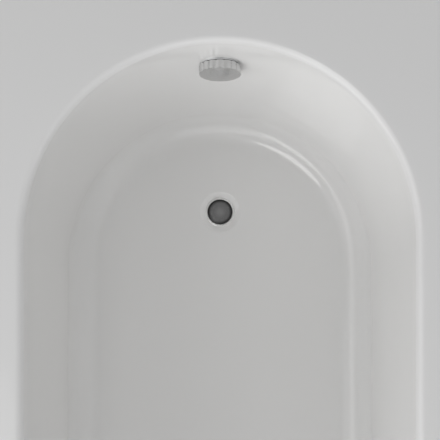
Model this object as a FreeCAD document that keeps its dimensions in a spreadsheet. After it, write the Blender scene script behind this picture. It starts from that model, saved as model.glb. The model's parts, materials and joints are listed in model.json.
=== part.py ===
import FreeCAD, Part
import math
import os
import Sketcher
from FreeCAD import Placement, Rotation, Vector

# Freestanding bathtub: a moulded acrylic basin with a flat deck, a tapered one-piece skirt, a welded
# steel frame on four levelling feet, and a turn-knob overflow whose cable lifts the drain plug.
# Millimetres and degrees. X runs along the bath with the drain at +X, Z is up, and the origin is the
# middle of the footprint on the floor.

SIZES = {
    # basin
    "bath_length": 1800, "bath_width": 800, "bath_height": 600, "shell_wall": 6,
    "corner_round": 45, "deck_edge_round": 8, "lip_height": 32,
    "deck_end_width": 95, "deck_head_width": 95,
    "deck_side_width": 64, "floor_height": 170, "rim_round": 15, "floor_round": 62,
    "side_draft": 6, "end_draft": 14, "head_draft": 27, "floor_fall": 0.8,
    # holes in the basin
    "drain_setback": 288, "drain_hole": 26, "seat_radius": 29, "dish_radius": 39, "dish_depth": 4,
    "overflow_drop": 109, "overflow_hole": 26,
    # skirt
    "skirt_gap": 6, "skirt_wall": 5, "skirt_inset": 7, "skirt_taper": 2.5, "skirt_flange": 30,
    # floor board, battens and steel frame
    "board_thick": 15, "board_width": 380, "board_head_margin": 70, "board_drain_gap": 77,
    "batten_width": 38, "rail_side": 30, "rail_wall": 2, "rail_pitch": 300, "rail_top": 125,
    "rail_overhang": 25, "bearer_end_offset": 123, "bearer_head_offset": 26, "bearer_side_gap": 40,
    "bracket_width": 40, "bracket_thick": 3, "bracket_foot": 38, "bracket_hole_reach": 24,
    "screw_radius": 2.5, "screw_head_radius": 5, "screw_head_height": 4, "screw_bite": 18,
    # levelling feet
    "foot_inset": 42, "stud_radius": 6, "stud_hole_gap": 0.5, "stud_top": 12, "nut_flats": 18,
    "weld_nut_height": 10, "lock_nut_height": 8, "pad_radius": 25, "pad_height": 22,
    "pad_neck_radius": 13, "pad_edge": 5, "socket_floor": 8, "collar_radius": 9, "collar_height": 8,
    # drain fitting
    "flange_radius": 28.5, "flange_thick": 2.4, "hub_radius": 25, "hub_wall": 3, "hub_drop": 16,
    "plug_radius": 24.4, "plug_crown": 3.8, "stem_radius": 3, "stem_head_radius": 5, "stem_drop": 34,
    "bush_wall": 3.2, "arm_width": 3, "arm_depth": 4,
    "gasket_thick": 3.5, "cup_flange_radius": 39, "cup_radius": 30, "cup_wall": 3,
    "cup_floor": 70, "cup_floor_thick": 4, "outlet_drop": 84, "outlet_radius": 22, "outlet_wall": 3,
    "inlet_drop": 33, "spigot_radius": 16, "spigot_wall": 2.5, "spigot_length": 62,
    # lift lever
    "pivot_back": 16, "pivot_drop": 36, "lever_reach": 21, "lever_arm": 22, "lever_thick": 5,
    "peg_radius": 1.5, "lever_gap": 0.4, "eye_gap": 0.5,
    # cable
    "cable_offset": 10.5, "wire_radius": 0.8, "sheath_bore": 1.1, "sheath_radius": 2.5,
    "port_radius": 4.5, "port_length": 40, "wire_entry": 22, "wire_gap": 14, "sheath_bend": 110,
    # overflow fitting
    "chamber_depth": 36, "chamber_radius": 30, "overflow_flange_radius": 36, "flange_back_thick": 4,
    "thread_radius": 25.5, "collar_bore": 22, "collar_flange_radius": 35, "collar_face": 3,
    "housing_radius": 24, "housing_wall": 2, "housing_depth": 16, "housing_port": 34,
    "spindle_radius": 4, "spindle_reach": 15, "drum_thick": 6,
    "knob_radius": 37.5, "knob_start": 4.5, "knob_depth": 16, "knob_front": 4, "knob_wall": 3,
    "knob_boss": 10, "knob_lobes": 16, "lobe_radius": 10, "knob_bevel": 1.2, "grub_radius": 2,
    # overflow hose
    "hose_wall": 2.3, "hose_bend": 90, "hose_overlap": 24, "clamp_width": 9, "clamp_thick": 1.6,
    # trap
    "pipe_radius": 20, "pipe_wall": 2, "trap_pitch": 66, "trap_bend_radius": 30, "trap_low": 28,
    "slip_height": 70, "trap_high": 106, "outlet_end": 12, "nut_radius": 28, "nut_lip": 4,
    # clearances
    "fit_gap": 0.1, "press_gap": 0.02, "running_gap": 0.3,
}

doc = FreeCAD.newDocument("freestanding_bathtub")
sizes = doc.addObject("Spreadsheet::Sheet", "sizes")
for line, (alias, number) in enumerate(SIZES.items(), start=1):
    sizes.set(f"A{line}", alias)
    sizes.set(f"B{line}", str(number))
    sizes.setAlias(f"B{line}", alias)
doc.recompute()

# ---------------------------------------------------------------- places worked out from the sizes

DECK_TOP = "sizes.bath_height"
DECK_UNDER = "(sizes.bath_height - sizes.shell_wall)"
FLOOR_Z = "sizes.floor_height"
WELL_DEPTH = "(sizes.bath_height - sizes.floor_height)"
RIM_END = "(sizes.bath_length / 2 - sizes.deck_end_width)"
RIM_HEAD = "(sizes.deck_head_width - sizes.bath_length / 2)"
RIM_HALF = "(sizes.bath_width / 2 - sizes.deck_side_width)"
FLOOR_HALF = f"({RIM_HALF} - {WELL_DEPTH} * tan(sizes.side_draft))"
FLOOR_END = f"({RIM_END} - {WELL_DEPTH} * tan(sizes.end_draft))"
FLOOR_HEAD = f"({RIM_HEAD} + {WELL_DEPTH} * tan(sizes.head_draft))"
DRAIN_X = f"({RIM_END} - sizes.drain_setback)"
SEAT_Z = f"({FLOOR_Z} - sizes.dish_depth)"

OVERFLOW_X = f"({RIM_END} - sizes.overflow_drop * tan(sizes.end_draft))"
OVERFLOW_Z = "(sizes.bath_height - sizes.overflow_drop)"
WALL_BACK = "(sizes.shell_wall * cos(sizes.end_draft))"
OVERFLOW_BACK = f"({WALL_BACK} + sizes.gasket_thick)"
CHAMBER_BACK = f"({OVERFLOW_BACK} + sizes.chamber_depth)"
HOSE_BACK = f"({OVERFLOW_BACK} + sizes.chamber_depth / 2)"
DRUM_BACK = f"({CHAMBER_BACK} + sizes.housing_depth / 2)"
INLET_Z = f"({SEAT_Z} - sizes.inlet_drop)"
CABLE_DROP = "(sizes.pivot_drop + sizes.lever_arm)"
CABLE_Z = f"({SEAT_Z} - {CABLE_DROP})"
HOSE_BORE = "(sizes.spigot_radius + sizes.fit_gap)"
HOSE_RADIUS = f"({HOSE_BORE} + sizes.hose_wall)"
CUP_TOP = "(sizes.shell_wall + sizes.gasket_thick)"

BEARER_TOP = "(sizes.rail_top - sizes.rail_side)"
BEARER_UNDER = "(sizes.rail_top - 2 * sizes.rail_side)"
BEARER_END_X = f"({DRAIN_X} + sizes.bearer_end_offset)"
BEARER_HEAD_X = f"({FLOOR_HEAD} + sizes.bearer_head_offset)"
BEARER_MIDDLE_X = f"(({BEARER_END_X} + {BEARER_HEAD_X}) / 2)"
SKIRT_HEIGHT = f"({DECK_UNDER} - sizes.skirt_gap)"
SKIRT_TOP_X = "(sizes.bath_length / 2 - sizes.skirt_inset)"
SKIRT_TOP_Y = "(sizes.bath_width / 2 - sizes.skirt_inset)"
SKIRT_IN = f"({SKIRT_HEIGHT} * tan(sizes.skirt_taper))"
SKIRT_FOOT_TOP = "(sizes.skirt_gap + sizes.skirt_wall)"
BEARER_HALF = f"({SKIRT_TOP_Y} - {SKIRT_IN} - sizes.skirt_wall - sizes.bearer_side_gap)"
FOOT_Y = f"({BEARER_HALF} - sizes.foot_inset)"
BOARD_HEAD_X = f"({FLOOR_HEAD} + sizes.board_head_margin)"
BOARD_END_X = f"({DRAIN_X} - sizes.board_drain_gap)"

PARTS = []


def number(expression):
    """The value of an expression over the sheet."""
    found = sizes.evalExpression(expression)
    return float(getattr(found, "Value", found))


def along_wall(up, inward):
    """X and Z of a point given by its distance up the drain-end wall and inward from its face."""
    x = f"({OVERFLOW_X} + ({up}) * sin(sizes.end_draft) - ({inward}) * cos(sizes.end_draft))"
    z = f"({OVERFLOW_Z} + ({up}) * cos(sizes.end_draft) + ({inward}) * sin(sizes.end_draft))"
    return x, z


def wall_corner(behind, height):
    """X where a line parallel to the drain-end wall, that far behind its face, meets that height."""
    rise = f"(({height}) - {OVERFLOW_Z} + ({behind}) * sin(sizes.end_draft))"
    return f"({OVERFLOW_X} + ({behind}) * cos(sizes.end_draft) + {rise} * tan(sizes.end_draft))"


def board_z(x, below):
    """Height of the sloping line that far below the basin's floor, at that X."""
    return f"({FLOOR_Z} - ({below}) + ({DRAIN_X} - ({x})) * tan(sizes.floor_fall))"


# ---------------------------------------------------------------- sketches

def bind(target, path, expression):
    """Bind a property of an object to an expression over the sheet."""
    target.setExpression(path, expression)


def new_body(label):
    """A body that is one sub-part, named by its label."""
    body = doc.addObject("PartDesign::Body", label)
    body.Label = label
    PARTS.append(body)
    return body


def place(item, x="0", y="0", z="0", axis=None, angle="0"):
    """Put an object at a point, turned about an axis."""
    turn = Rotation(axis, number(angle)) if axis else Rotation()
    item.Placement = Placement(Vector(number(x), number(y), number(z)), turn)
    for letter, expression in zip("xyz", (x, y, z)):
        bind(item, f"Placement.Base.{letter}", expression)
    if axis:
        bind(item, "Placement.Rotation.Angle", angle)


def place_on_overflow(item):
    """Local Z comes out of the drain-end wall into the bath, and local X runs up the wall."""
    place(item, OVERFLOW_X, "0", OVERFLOW_Z, Vector(0, -1, 0), "90 - sizes.end_draft")


def place_on_drain(item):
    """Local Z is up, from the flange's seat in the basin's floor."""
    place(item, DRAIN_X, "0", SEAT_Z)


def new_sketch(body, plane, x="0", y="0", z="0", axis=None, angle="0"):
    """A sketch on one of the body's own origin planes, moved and turned in that plane's frame."""
    support = [item for item in body.Origin.OriginFeatures if item.Role == plane][0]
    sketch = body.newObject("Sketcher::SketchObject", body.Label + "_sketch")
    sketch.AttachmentSupport = [(support, "")]
    sketch.MapMode = "FlatFace"
    turn = Rotation(axis, number(angle)) if axis else Rotation()
    sketch.AttachmentOffset = Placement(Vector(number(x), number(y), number(z)), turn)
    for letter, expression in zip("xyz", (x, y, z)):
        if expression != "0":
            bind(sketch, f"AttachmentOffset.Base.{letter}", expression)
    if axis:
        bind(sketch, "AttachmentOffset.Rotation.Angle", angle)
    return sketch


def constrain(sketch, *values, to=None):
    """Add a constraint, bound to an expression if one is given."""
    values = list(values)
    if to is not None:
        values.append(number(to))
    index = sketch.addConstraint(Sketcher.Constraint(*values))
    if to is not None:
        bind(sketch, f"Constraints[{index}]", to)


def pin_point(sketch, geometry, end, x, y):
    """Fix one point of the sketch. A coordinate of 0 puts it on the sketch's own axis."""
    if x == "0":
        constrain(sketch, "PointOnObject", geometry, end, -2)
    else:
        constrain(sketch, "DistanceX", geometry, end, to=x)
    if y == "0":
        constrain(sketch, "PointOnObject", geometry, end, -1)
    else:
        constrain(sketch, "DistanceY", geometry, end, to=y)


def point(x, y):
    return Vector(number(x), number(y), 0)


def polygon(sketch, corners):
    """A closed outline through corners, each a pair of expressions."""
    places = [point(x, y) for x, y in corners]
    count = len(corners)
    lines = [
        sketch.addGeometry(Part.LineSegment(places[i], places[(i + 1) % count]), False)
        for i in range(count)
    ]
    for i, (x, y) in enumerate(corners):
        constrain(sketch, "Coincident", lines[i - 1], 2, lines[i], 1)
        pin_point(sketch, lines[i], 1, x, y)


def circle(sketch, radius, x="0", y="0"):
    """A full circle."""
    ring = sketch.addGeometry(Part.Circle(point(x, y), Vector(0, 0, 1), number(radius)), False)
    if x == "0" and y == "0":
        constrain(sketch, "Coincident", ring, 3, -1, 1)
    else:
        pin_point(sketch, ring, 3, x, y)
    constrain(sketch, "Radius", ring, to=radius)


def arc(sketch, x, y, radius, start, end):
    """An arc with its centre and radius fixed, between two angles in degrees."""
    whole = Part.Circle(point(x, y), Vector(0, 0, 1), number(radius))
    bow = Part.ArcOfCircle(whole, math.radians(start), math.radians(end))
    made = sketch.addGeometry(bow, False)
    pin_point(sketch, made, 3, x, y)
    constrain(sketch, "Radius", made, to=radius)
    return made


def join_arcs(sketch, arcs):
    """Join the arcs in order with straight lines, end to start."""
    for first, second in zip(arcs, arcs[1:] + arcs[:1]):
        start = sketch.getPoint(first, 2)
        end = sketch.getPoint(second, 1)
        line = sketch.addGeometry(Part.LineSegment(start, end), False)
        constrain(sketch, "Coincident", first, 2, line, 1)
        constrain(sketch, "Coincident", line, 2, second, 1)


def stadium(sketch, low, high, half):
    """A straight-sided outline with half-round ends, from low to high along the sketch's X."""
    right = arc(sketch, f"({high}) - ({half})", "0", half, -90, 90)
    left = arc(sketch, f"({low}) + ({half})", "0", half, 90, 270)
    for bow in (right, left):
        for end in (1, 2):
            constrain(sketch, "Vertical", bow, end, bow, 3)
    join_arcs(sketch, [right, left])


def rounded_rectangle(sketch, half_x, half_y, radius):
    """A rectangle about the sketch's origin with rounded corners."""
    arcs = []
    for quarter, (side_x, side_y) in enumerate(((1, 1), (-1, 1), (-1, -1), (1, -1))):
        x = f"{side_x} * (({half_x}) - ({radius}))"
        y = f"{side_y} * (({half_y}) - ({radius}))"
        bow = arc(sketch, x, y, radius, 90 * quarter, 90 * quarter + 90)
        upright_first = quarter % 2
        for end in (1, 2):
            upright = (end == 1) == bool(upright_first)
            constrain(sketch, "Vertical" if upright else "Horizontal", bow, end, bow, 3)
        arcs.append(bow)
    join_arcs(sketch, arcs)


def bent_path(sketch, corners, radius):
    """Straight runs through corners, joined by tangent arcs of one radius."""
    places = [point(x, y) for x, y in corners]
    bend = number(radius)
    guides = [
        sketch.addGeometry(Part.LineSegment(a, b), True) for a, b in zip(places, places[1:])
    ]
    for i, guide in enumerate(guides):
        pin_point(sketch, guide, 1, *corners[i])
        if i:
            constrain(sketch, "Coincident", guides[i - 1], 2, guide, 1)
    pin_point(sketch, guides[-1], 2, *corners[-1])
    starts, ends = [places[0]], []
    for a, b, c in zip(places, places[1:], places[2:]):
        back, on = (a - b).normalize(), (c - b).normalize()
        reach = bend / math.tan(back.getAngle(on) / 2)
        ends.append(b + back * reach)
        starts.append(b + on * reach)
    ends.append(places[-1])
    runs = [sketch.addGeometry(Part.LineSegment(a, b), False) for a, b in zip(starts, ends)]
    constrain(sketch, "Coincident", runs[0], 1, guides[0], 1)
    constrain(sketch, "Coincident", runs[-1], 2, guides[-1], 2)
    for i, corner in enumerate(places[1:-1]):
        back, on = (ends[i] - corner).normalize(), (starts[i + 1] - corner).normalize()
        centre = corner + (back + on).normalize() * (bend / math.sin(back.getAngle(on) / 2))
        middle = centre - (back + on).normalize() * bend
        bow = sketch.addGeometry(Part.Arc(ends[i], middle, starts[i + 1]), False)
        swapped = (sketch.getPoint(bow, 1) - ends[i]).Length > 1e-6
        first, last = (2, 1) if swapped else (1, 2)
        constrain(sketch, "PointOnObject", runs[i], 2, guides[i])
        constrain(sketch, "PointOnObject", runs[i + 1], 1, guides[i + 1])
        constrain(sketch, "Tangent", runs[i], 2, bow, first)
        constrain(sketch, "Tangent", bow, last, runs[i + 1], 1)
        constrain(sketch, "Radius", bow, to=radius)
    return len(runs) * 2 - 1


# ---------------------------------------------------------------- features

def feature(body, kind, sketch, **settings):
    """A PartDesign feature on a sketch. Settings that are text are bound as expressions."""
    made = body.newObject("PartDesign::" + kind, body.Label + "_" + kind.lower())
    made.Profile = sketch
    for name, value in settings.items():
        if isinstance(value, str) and name != "Type" and name != "SideType":
            bind(made, name, value)
        else:
            setattr(made, name, value)
    doc.recompute()
    return made


def pad(body, sketch, length, **settings):
    return feature(body, "Pad", sketch, Length=length, **settings)


def pocket(body, sketch, length, **settings):
    """A cut that must take material away."""
    before = body.Shape.Volume
    made = feature(body, "Pocket", sketch, Length=length, **settings)
    if body.Shape.Volume > before - 1e-6:
        raise ValueError(f"{made.Name} cuts nothing")
    return made


def revolve(body, sketch, cut=False):
    """Turn a profile about its sketch's own vertical axis."""
    made = feature(body, "Groove" if cut else "Revolution", sketch, Angle=360)
    made.ReferenceAxis = (sketch, ["V_Axis"])
    doc.recompute()
    return made


def turned(body, corners, cut=False, **offset):
    """A solid or cut of revolution from (radius, height) corners."""
    sketch = new_sketch(body, "XZ_Plane", **offset)
    polygon(sketch, corners)
    return revolve(body, sketch, cut)


def loft(body, kind, bottom, top):
    """A ruled loft between two sketches."""
    made = body.newObject("PartDesign::" + kind, body.Label + "_loft")
    made.Profile = bottom
    made.Sections = [top]
    made.Ruled = True
    doc.recompute()
    return made


def round_edges(body, radius, test):
    """Fillet every edge of the body's tip whose sampled points all pass the test."""
    tip = body.Tip
    names = []
    for i, edge in enumerate(tip.Shape.Edges, start=1):
        samples = edge.discretize(Number=5)
        if all(test(p) for p in samples):
            names.append(f"Edge{i}")
    if not names:
        raise ValueError(f"{body.Label} has no edge to round")
    made = body.newObject("PartDesign::Fillet", body.Label + "_fillet")
    made.Base = (tip, names)
    bind(made, "Radius", radius)
    doc.recompute()
    return made


def repeat_round(body, features, count, axis="Z_Axis"):
    """Repeat features about one of the body's own axes."""
    made = body.newObject("PartDesign::PolarPattern", body.Label + "_pattern")
    made.Originals = features
    found = [item for item in body.Origin.OriginFeatures if item.Role == axis][0]
    made.Axis = (found, [""])
    made.Angle = 360
    if isinstance(count, str):
        bind(made, "Occurrences", count)
    else:
        made.Occurrences = count
    body.Tip = made
    doc.recompute()
    return made


def pipe(body, path, profile, edges):
    """Sweep a profile along the runs and arcs of a path sketch."""
    made = body.newObject("PartDesign::AdditivePipe", body.Label + "_pipe")
    made.Profile = profile
    made.Spine = (path, [f"Edge{i}" for i in range(1, edges + 1)])
    doc.recompute()
    return made


# ---------------------------------------------------------------- basin and skirt

def build_basin():
    """Acrylic basin: flat deck with a turned-down lip, and a well with a half-round end each way."""
    body = new_body("basin")
    deck = new_sketch(body, "XY_Plane", z=DECK_UNDER)
    half_length, half_width = "sizes.bath_length / 2", "sizes.bath_width / 2"
    rounded_rectangle(deck, half_length, half_width, "sizes.corner_round")
    pad(body, deck, "sizes.shell_wall")
    lip = new_sketch(body, "XY_Plane", z=DECK_UNDER)
    rounded_rectangle(lip, half_length, half_width, "sizes.corner_round")
    inner = "sizes.corner_round - sizes.shell_wall"
    rounded_rectangle(
        lip, half_length + " - sizes.shell_wall", half_width + " - sizes.shell_wall", inner
    )
    pad(body, lip, "sizes.lip_height - sizes.shell_wall", Reversed=True)

    def well(kind, wall):
        """The well's tapering body, grown outward by the wall."""
        grow = f"{wall} * (1 - tan(sizes.side_draft))"
        grow_end = f"{wall} * (1 - tan(sizes.end_draft))"
        grow_head = f"{wall} * (1 - tan(sizes.head_draft))"
        low = new_sketch(
            body, "XY_Plane", x=DRAIN_X, z=f"{FLOOR_Z} - {wall}",
            axis=Vector(0, 1, 0), angle="sizes.floor_fall",
        )
        head = f"{FLOOR_HEAD} - {grow_head} - {DRAIN_X}"
        end = f"{FLOOR_END} + {grow_end} - {DRAIN_X}"
        stadium(low, head, end, f"{FLOOR_HALF} + {grow}")
        high = new_sketch(body, "XY_Plane", z=DECK_TOP)
        stadium(high, f"{RIM_HEAD} - {wall}", f"{RIM_END} + {wall}", f"{RIM_HALF} + {wall}")
        loft(body, kind, low, high)

    fall = math.tan(math.radians(number("sizes.floor_fall")))

    def on_floor(below):
        """A test for points on the sloping plane that far below the floor."""
        base, drain = number(FLOOR_Z) - below, number(DRAIN_X)
        return lambda p: abs(p.z - base - (drain - p.x) * fall) < 0.01

    inside_x, inside_y = number(RIM_END), number(RIM_HALF)
    deck_top, deck_under = number(DECK_TOP), number(DECK_UNDER)
    wall = number("sizes.shell_wall")

    def at_height(height, margin):
        """A test for points of the well's outline at that height."""
        return lambda p: (
            abs(p.z - height) < 0.01
            and abs(p.x) < inside_x + margin
            and abs(p.y) < inside_y + margin
        )

    well("AdditiveLoft", "sizes.shell_wall")
    well("SubtractiveLoft", "0")
    round_edges(body, "sizes.floor_round", on_floor(0))
    round_edges(body, "sizes.floor_round + sizes.shell_wall", on_floor(wall))
    round_edges(body, "sizes.rim_round", at_height(deck_top, 1))
    round_edges(body, "sizes.rim_round - sizes.shell_wall", at_height(deck_under, wall + 1))
    round_edges(
        body, "sizes.deck_edge_round",
        lambda p: abs(p.z - deck_top) < 0.01 and (abs(p.y) > inside_y + 25 or abs(p.x) > inside_x + 25),
    )

    boss = new_sketch(body, "XY_Plane", z=f"{SEAT_Z} - sizes.shell_wall")
    circle(boss, "sizes.dish_radius + sizes.shell_wall", x=DRAIN_X)
    pad(body, boss, "sizes.shell_wall + sizes.dish_depth / 2")
    rise = "sizes.dish_depth * 1.25"
    spread = "sizes.seat_radius + (sizes.dish_radius - sizes.seat_radius) * 1.25"
    turned(
        body,
        [
            ("0", "-2 * sizes.shell_wall"), ("sizes.drain_hole", "-2 * sizes.shell_wall"),
            ("sizes.drain_hole", "0"), ("sizes.seat_radius", "0"), (spread, rise),
            (spread, "3 * sizes.dish_depth"), ("0", "3 * sizes.dish_depth"),
        ],
        cut=True, x=DRAIN_X, y=SEAT_Z,
    )
    reach = "3 * sizes.shell_wall"
    turned(
        body,
        [
            ("0", "-" + reach), ("sizes.overflow_hole", "-" + reach),
            ("sizes.overflow_hole", reach), ("0", reach),
        ],
        cut=True, x=OVERFLOW_X, y=OVERFLOW_Z,
        axis=Vector(0, 0, 1), angle="90 - sizes.end_draft",
    )
    return body


def bracket_spots():
    """X, side and label of each skirt bracket and foot."""
    for end, x in (("drain", BEARER_END_X), ("head", BEARER_HEAD_X)):
        for side, name in ((1, "left"), (-1, "right")):
            yield x, side, f"{end}_{name}"


def build_skirt():
    """One-piece tapered skirt with a flange under the deck and another round its foot."""
    body = new_body("skirt")
    corner = "sizes.corner_round - sizes.skirt_inset"

    def ring(height, inward, window=False):
        """A rounded outline at a height, that far in from the skirt's outer face."""
        sketch = new_sketch(body, "XY_Plane", z=height)
        fall_in = f"({DECK_UNDER} - ({height})) * tan(sizes.skirt_taper)"
        off = f"{fall_in} + {inward}"
        radius = f"{corner} - {inward}" if not window else "sizes.skirt_wall"
        rounded_rectangle(sketch, f"{SKIRT_TOP_X} - ({off})", f"{SKIRT_TOP_Y} - ({off})", radius)
        return sketch

    loft(body, "AdditiveLoft", ring("sizes.skirt_gap", "0"), ring(DECK_UNDER, "0"))
    inner_top = f"{DECK_UNDER} - sizes.skirt_wall"
    loft(
        body, "SubtractiveLoft",
        ring(SKIRT_FOOT_TOP, "sizes.skirt_wall"), ring(inner_top, "sizes.skirt_wall"),
    )
    pocket(body, ring(DECK_UNDER, "sizes.skirt_flange", True), "2 * sizes.skirt_wall")
    flange = "sizes.skirt_flange + sizes.skirt_wall"
    pocket(body, ring("sizes.skirt_gap", flange, True), "2 * sizes.skirt_wall", Reversed=True)
    holes = new_sketch(body, "XY_Plane", z="sizes.skirt_gap")
    for x, side, _ in bracket_spots():
        y = f"{side} * ({BEARER_HALF} + sizes.bracket_hole_reach)"
        circle(holes, "sizes.screw_radius + sizes.running_gap", x=x, y=y)
    pocket(body, holes, "2 * sizes.skirt_wall", Reversed=True)
    return body


# ---------------------------------------------------------------- frame

def screw_spots():
    """X of each screw up through a rail into its batten, clear of the bearers below."""
    for share in (0.15, 0.5, 0.85):
        yield f"({BOARD_HEAD_X} + ({BOARD_END_X} - {BOARD_HEAD_X}) * {share})"


def build_board_and_battens():
    """Floor board bonded under the basin, and the two tapered battens that level it."""
    board = new_body("floor_board")
    place(board, DRAIN_X, "0", f"{FLOOR_Z} - sizes.shell_wall", Vector(0, 1, 0), "sizes.floor_fall")
    outline = new_sketch(board, "XY_Plane")
    half = "sizes.board_width / 2"
    polygon(
        outline,
        [
            (f"{BOARD_HEAD_X} - {DRAIN_X}", "-" + half), ("-sizes.board_drain_gap", "-" + half),
            ("-sizes.board_drain_gap", half), (f"{BOARD_HEAD_X} - {DRAIN_X}", half),
        ],
    )
    pad(board, outline, "sizes.board_thick", Reversed=True)
    for side, name in ((1, "left"), (-1, "right")):
        batten = new_body("batten_" + name)
        place(batten, "0", f"{side} * sizes.rail_pitch / 2", "0")
        face = new_sketch(batten, "XZ_Plane")
        below = "sizes.shell_wall + sizes.board_thick / cos(sizes.floor_fall)"
        polygon(
            face,
            [
                (BOARD_HEAD_X, "sizes.rail_top"), (BOARD_END_X, "sizes.rail_top"),
                (BOARD_END_X, board_z(BOARD_END_X, below)),
                (BOARD_HEAD_X, board_z(BOARD_HEAD_X, below)),
            ],
        )
        pad(batten, face, "sizes.batten_width", SideType="Symmetric")
        holes = new_sketch(batten, "XY_Plane", z="sizes.rail_top")
        for x in screw_spots():
            circle(holes, "sizes.screw_radius + sizes.fit_gap", x=x)
        pocket(batten, holes, "sizes.screw_bite + 1", Reversed=True)


def square_tube(label, plane, along, length, across, height):
    """A hollow square tube from one end, along X or Y."""
    body = new_body(label)
    sketch = new_sketch(body, plane, z=along)
    for inset in ("0", "sizes.rail_wall"):
        low, high = f"{height} + {inset}", f"{height} + sizes.rail_side - {inset}"
        left = f"{across} - sizes.rail_side / 2 + {inset}"
        right = f"{across} + sizes.rail_side / 2 - {inset}"
        polygon(sketch, [(left, low), (right, low), (right, high), (left, high)])
    pad(body, sketch, length)
    return body


def build_frame():
    """Two long rails on three cross bearers, all square tube, with holes for screws and studs."""
    start = f"({BEARER_HEAD_X} - sizes.rail_side / 2 - sizes.rail_overhang)"
    length = f"({BEARER_END_X} + sizes.rail_side / 2 + sizes.rail_overhang) - {start}"
    for side, name in ((1, "left"), (-1, "right")):
        y = f"{side} * sizes.rail_pitch / 2"
        rail = square_tube("rail_" + name, "YZ_Plane", start, length, y, BEARER_TOP)
        holes = new_sketch(rail, "XY_Plane", z=f"{BEARER_TOP} - 1")
        for x in screw_spots():
            circle(holes, "sizes.screw_radius + sizes.running_gap", x=x, y=y)
        pocket(rail, holes, "sizes.rail_side + 2", Reversed=True)
    for name, x in (
        ("drain_end", BEARER_END_X), ("middle", BEARER_MIDDLE_X), ("head_end", BEARER_HEAD_X),
    ):
        bearer = square_tube(
            "bearer_" + name, "XZ_Plane", f"-{BEARER_HALF}", f"2 * {BEARER_HALF}", x, BEARER_UNDER
        )
        if name != "middle":
            holes = new_sketch(bearer, "XY_Plane", z=f"{BEARER_UNDER} - 1")
            for side in (1, -1):
                circle(holes, "sizes.stud_radius + sizes.stud_hole_gap", x=x, y=f"{side} * {FOOT_Y}")
            pocket(bearer, holes, "sizes.rail_side + 2", Reversed=True)


def build_brackets():
    """Bent strips welded to the bearers' ends, which hold the skirt's foot flange."""
    for x, side, name in bracket_spots():
        body = new_body("skirt_bracket_" + name)
        place(body, x, "0", "0", Vector(0, 0, 1), "0" if side > 0 else "180")
        section = new_sketch(body, "YZ_Plane")
        inner, thick = BEARER_HALF, "sizes.bracket_thick"
        polygon(
            section,
            [
                (inner, SKIRT_FOOT_TOP), (f"{inner} + sizes.bracket_foot", SKIRT_FOOT_TOP),
                (f"{inner} + sizes.bracket_foot", f"{SKIRT_FOOT_TOP} + {thick}"),
                (f"{inner} + {thick}", f"{SKIRT_FOOT_TOP} + {thick}"),
                (f"{inner} + {thick}", BEARER_TOP), (inner, BEARER_TOP),
            ],
        )
        pad(body, section, "sizes.bracket_width", SideType="Symmetric")
        hole = new_sketch(body, "XY_Plane", z=f"{SKIRT_FOOT_TOP} - 1")
        circle(hole, "sizes.screw_radius + sizes.running_gap", y=f"{inner} + sizes.bracket_hole_reach")
        pocket(body, hole, f"{thick} + 2", Reversed=True)


def solid(kind, name, **values):
    """A Part primitive with its sizes bound."""
    made = doc.addObject("Part::" + kind, name)
    for field, value in values.items():
        if isinstance(value, str):
            bind(made, field, value)
        else:
            setattr(made, field, value)
    return made


def group(label, members):
    """Separate solids that share one node."""
    made = doc.addObject("Part::Compound", label)
    made.Label = label
    made.Links = members
    doc.recompute()
    PARTS.append(made)
    return made


def hex_nut(name, x, y, low, height):
    """A hexagon nut with a clear bore."""
    outer = solid("Prism", name + "_hex", Polygon=6, Height=height,
                  Circumradius="sizes.nut_flats / 2 / cos(30)")
    place(outer, x, y, low)
    bore = solid("Cylinder", name + "_bore", Height=height,
                 Radius="sizes.stud_radius + sizes.running_gap")
    place(bore, x, y, low)
    cut = doc.addObject("Part::Cut", name)
    cut.Base, cut.Tool = outer, bore
    return cut


def screw(name, x, y, seat, up, length):
    """A hexagon-headed screw whose head bears on the seat and whose shank points away from it."""
    head = solid("Prism", name + "_head", Polygon=6, Height="sizes.screw_head_height",
                 Circumradius="sizes.screw_head_radius")
    shank = solid("Cylinder", name + "_shank", Height=length, Radius="sizes.screw_radius")
    place(head, x, y, f"{seat} - sizes.screw_head_height" if up else seat)
    place(shank, x, y, seat if up else f"{seat} - ({length})")
    fused = doc.addObject("Part::Fuse", name)
    fused.Base, fused.Tool = head, shank
    return fused


def build_fasteners():
    """Nuts on the bearers, and the screws that hold the battens and the skirt."""
    weld, lock, held = [], [], []
    low = f"{BEARER_UNDER} - sizes.weld_nut_height"
    for x, side, name in bracket_spots():
        y = f"{side} * {FOOT_Y}"
        weld.append(hex_nut("weld_nut_" + name, x, y, low, "sizes.weld_nut_height"))
        lower = f"{low} - sizes.lock_nut_height"
        lock.append(hex_nut("lock_nut_" + name, x, y, lower, "sizes.lock_nut_height"))
        seat = f"{SKIRT_FOOT_TOP} + sizes.bracket_thick"
        reach = f"{side} * ({BEARER_HALF} + sizes.bracket_hole_reach)"
        bite = "sizes.bracket_thick + sizes.skirt_wall"
        held.append(screw("bracket_screw_" + name, x, reach, seat, False, bite))
    group("foot_weld_nuts", weld)
    group("foot_lock_nuts", lock)
    group("bracket_screws", held)
    screws = []
    for i, x in enumerate(screw_spots()):
        for side in (1, -1):
            y = f"{side} * sizes.rail_pitch / 2"
            name = f"batten_screw_{i}_{'left' if side > 0 else 'right'}"
            length = "sizes.rail_side + sizes.screw_bite"
            screws.append(screw(name, x, y, BEARER_TOP, True, length))
    group("batten_screws", screws)


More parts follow.
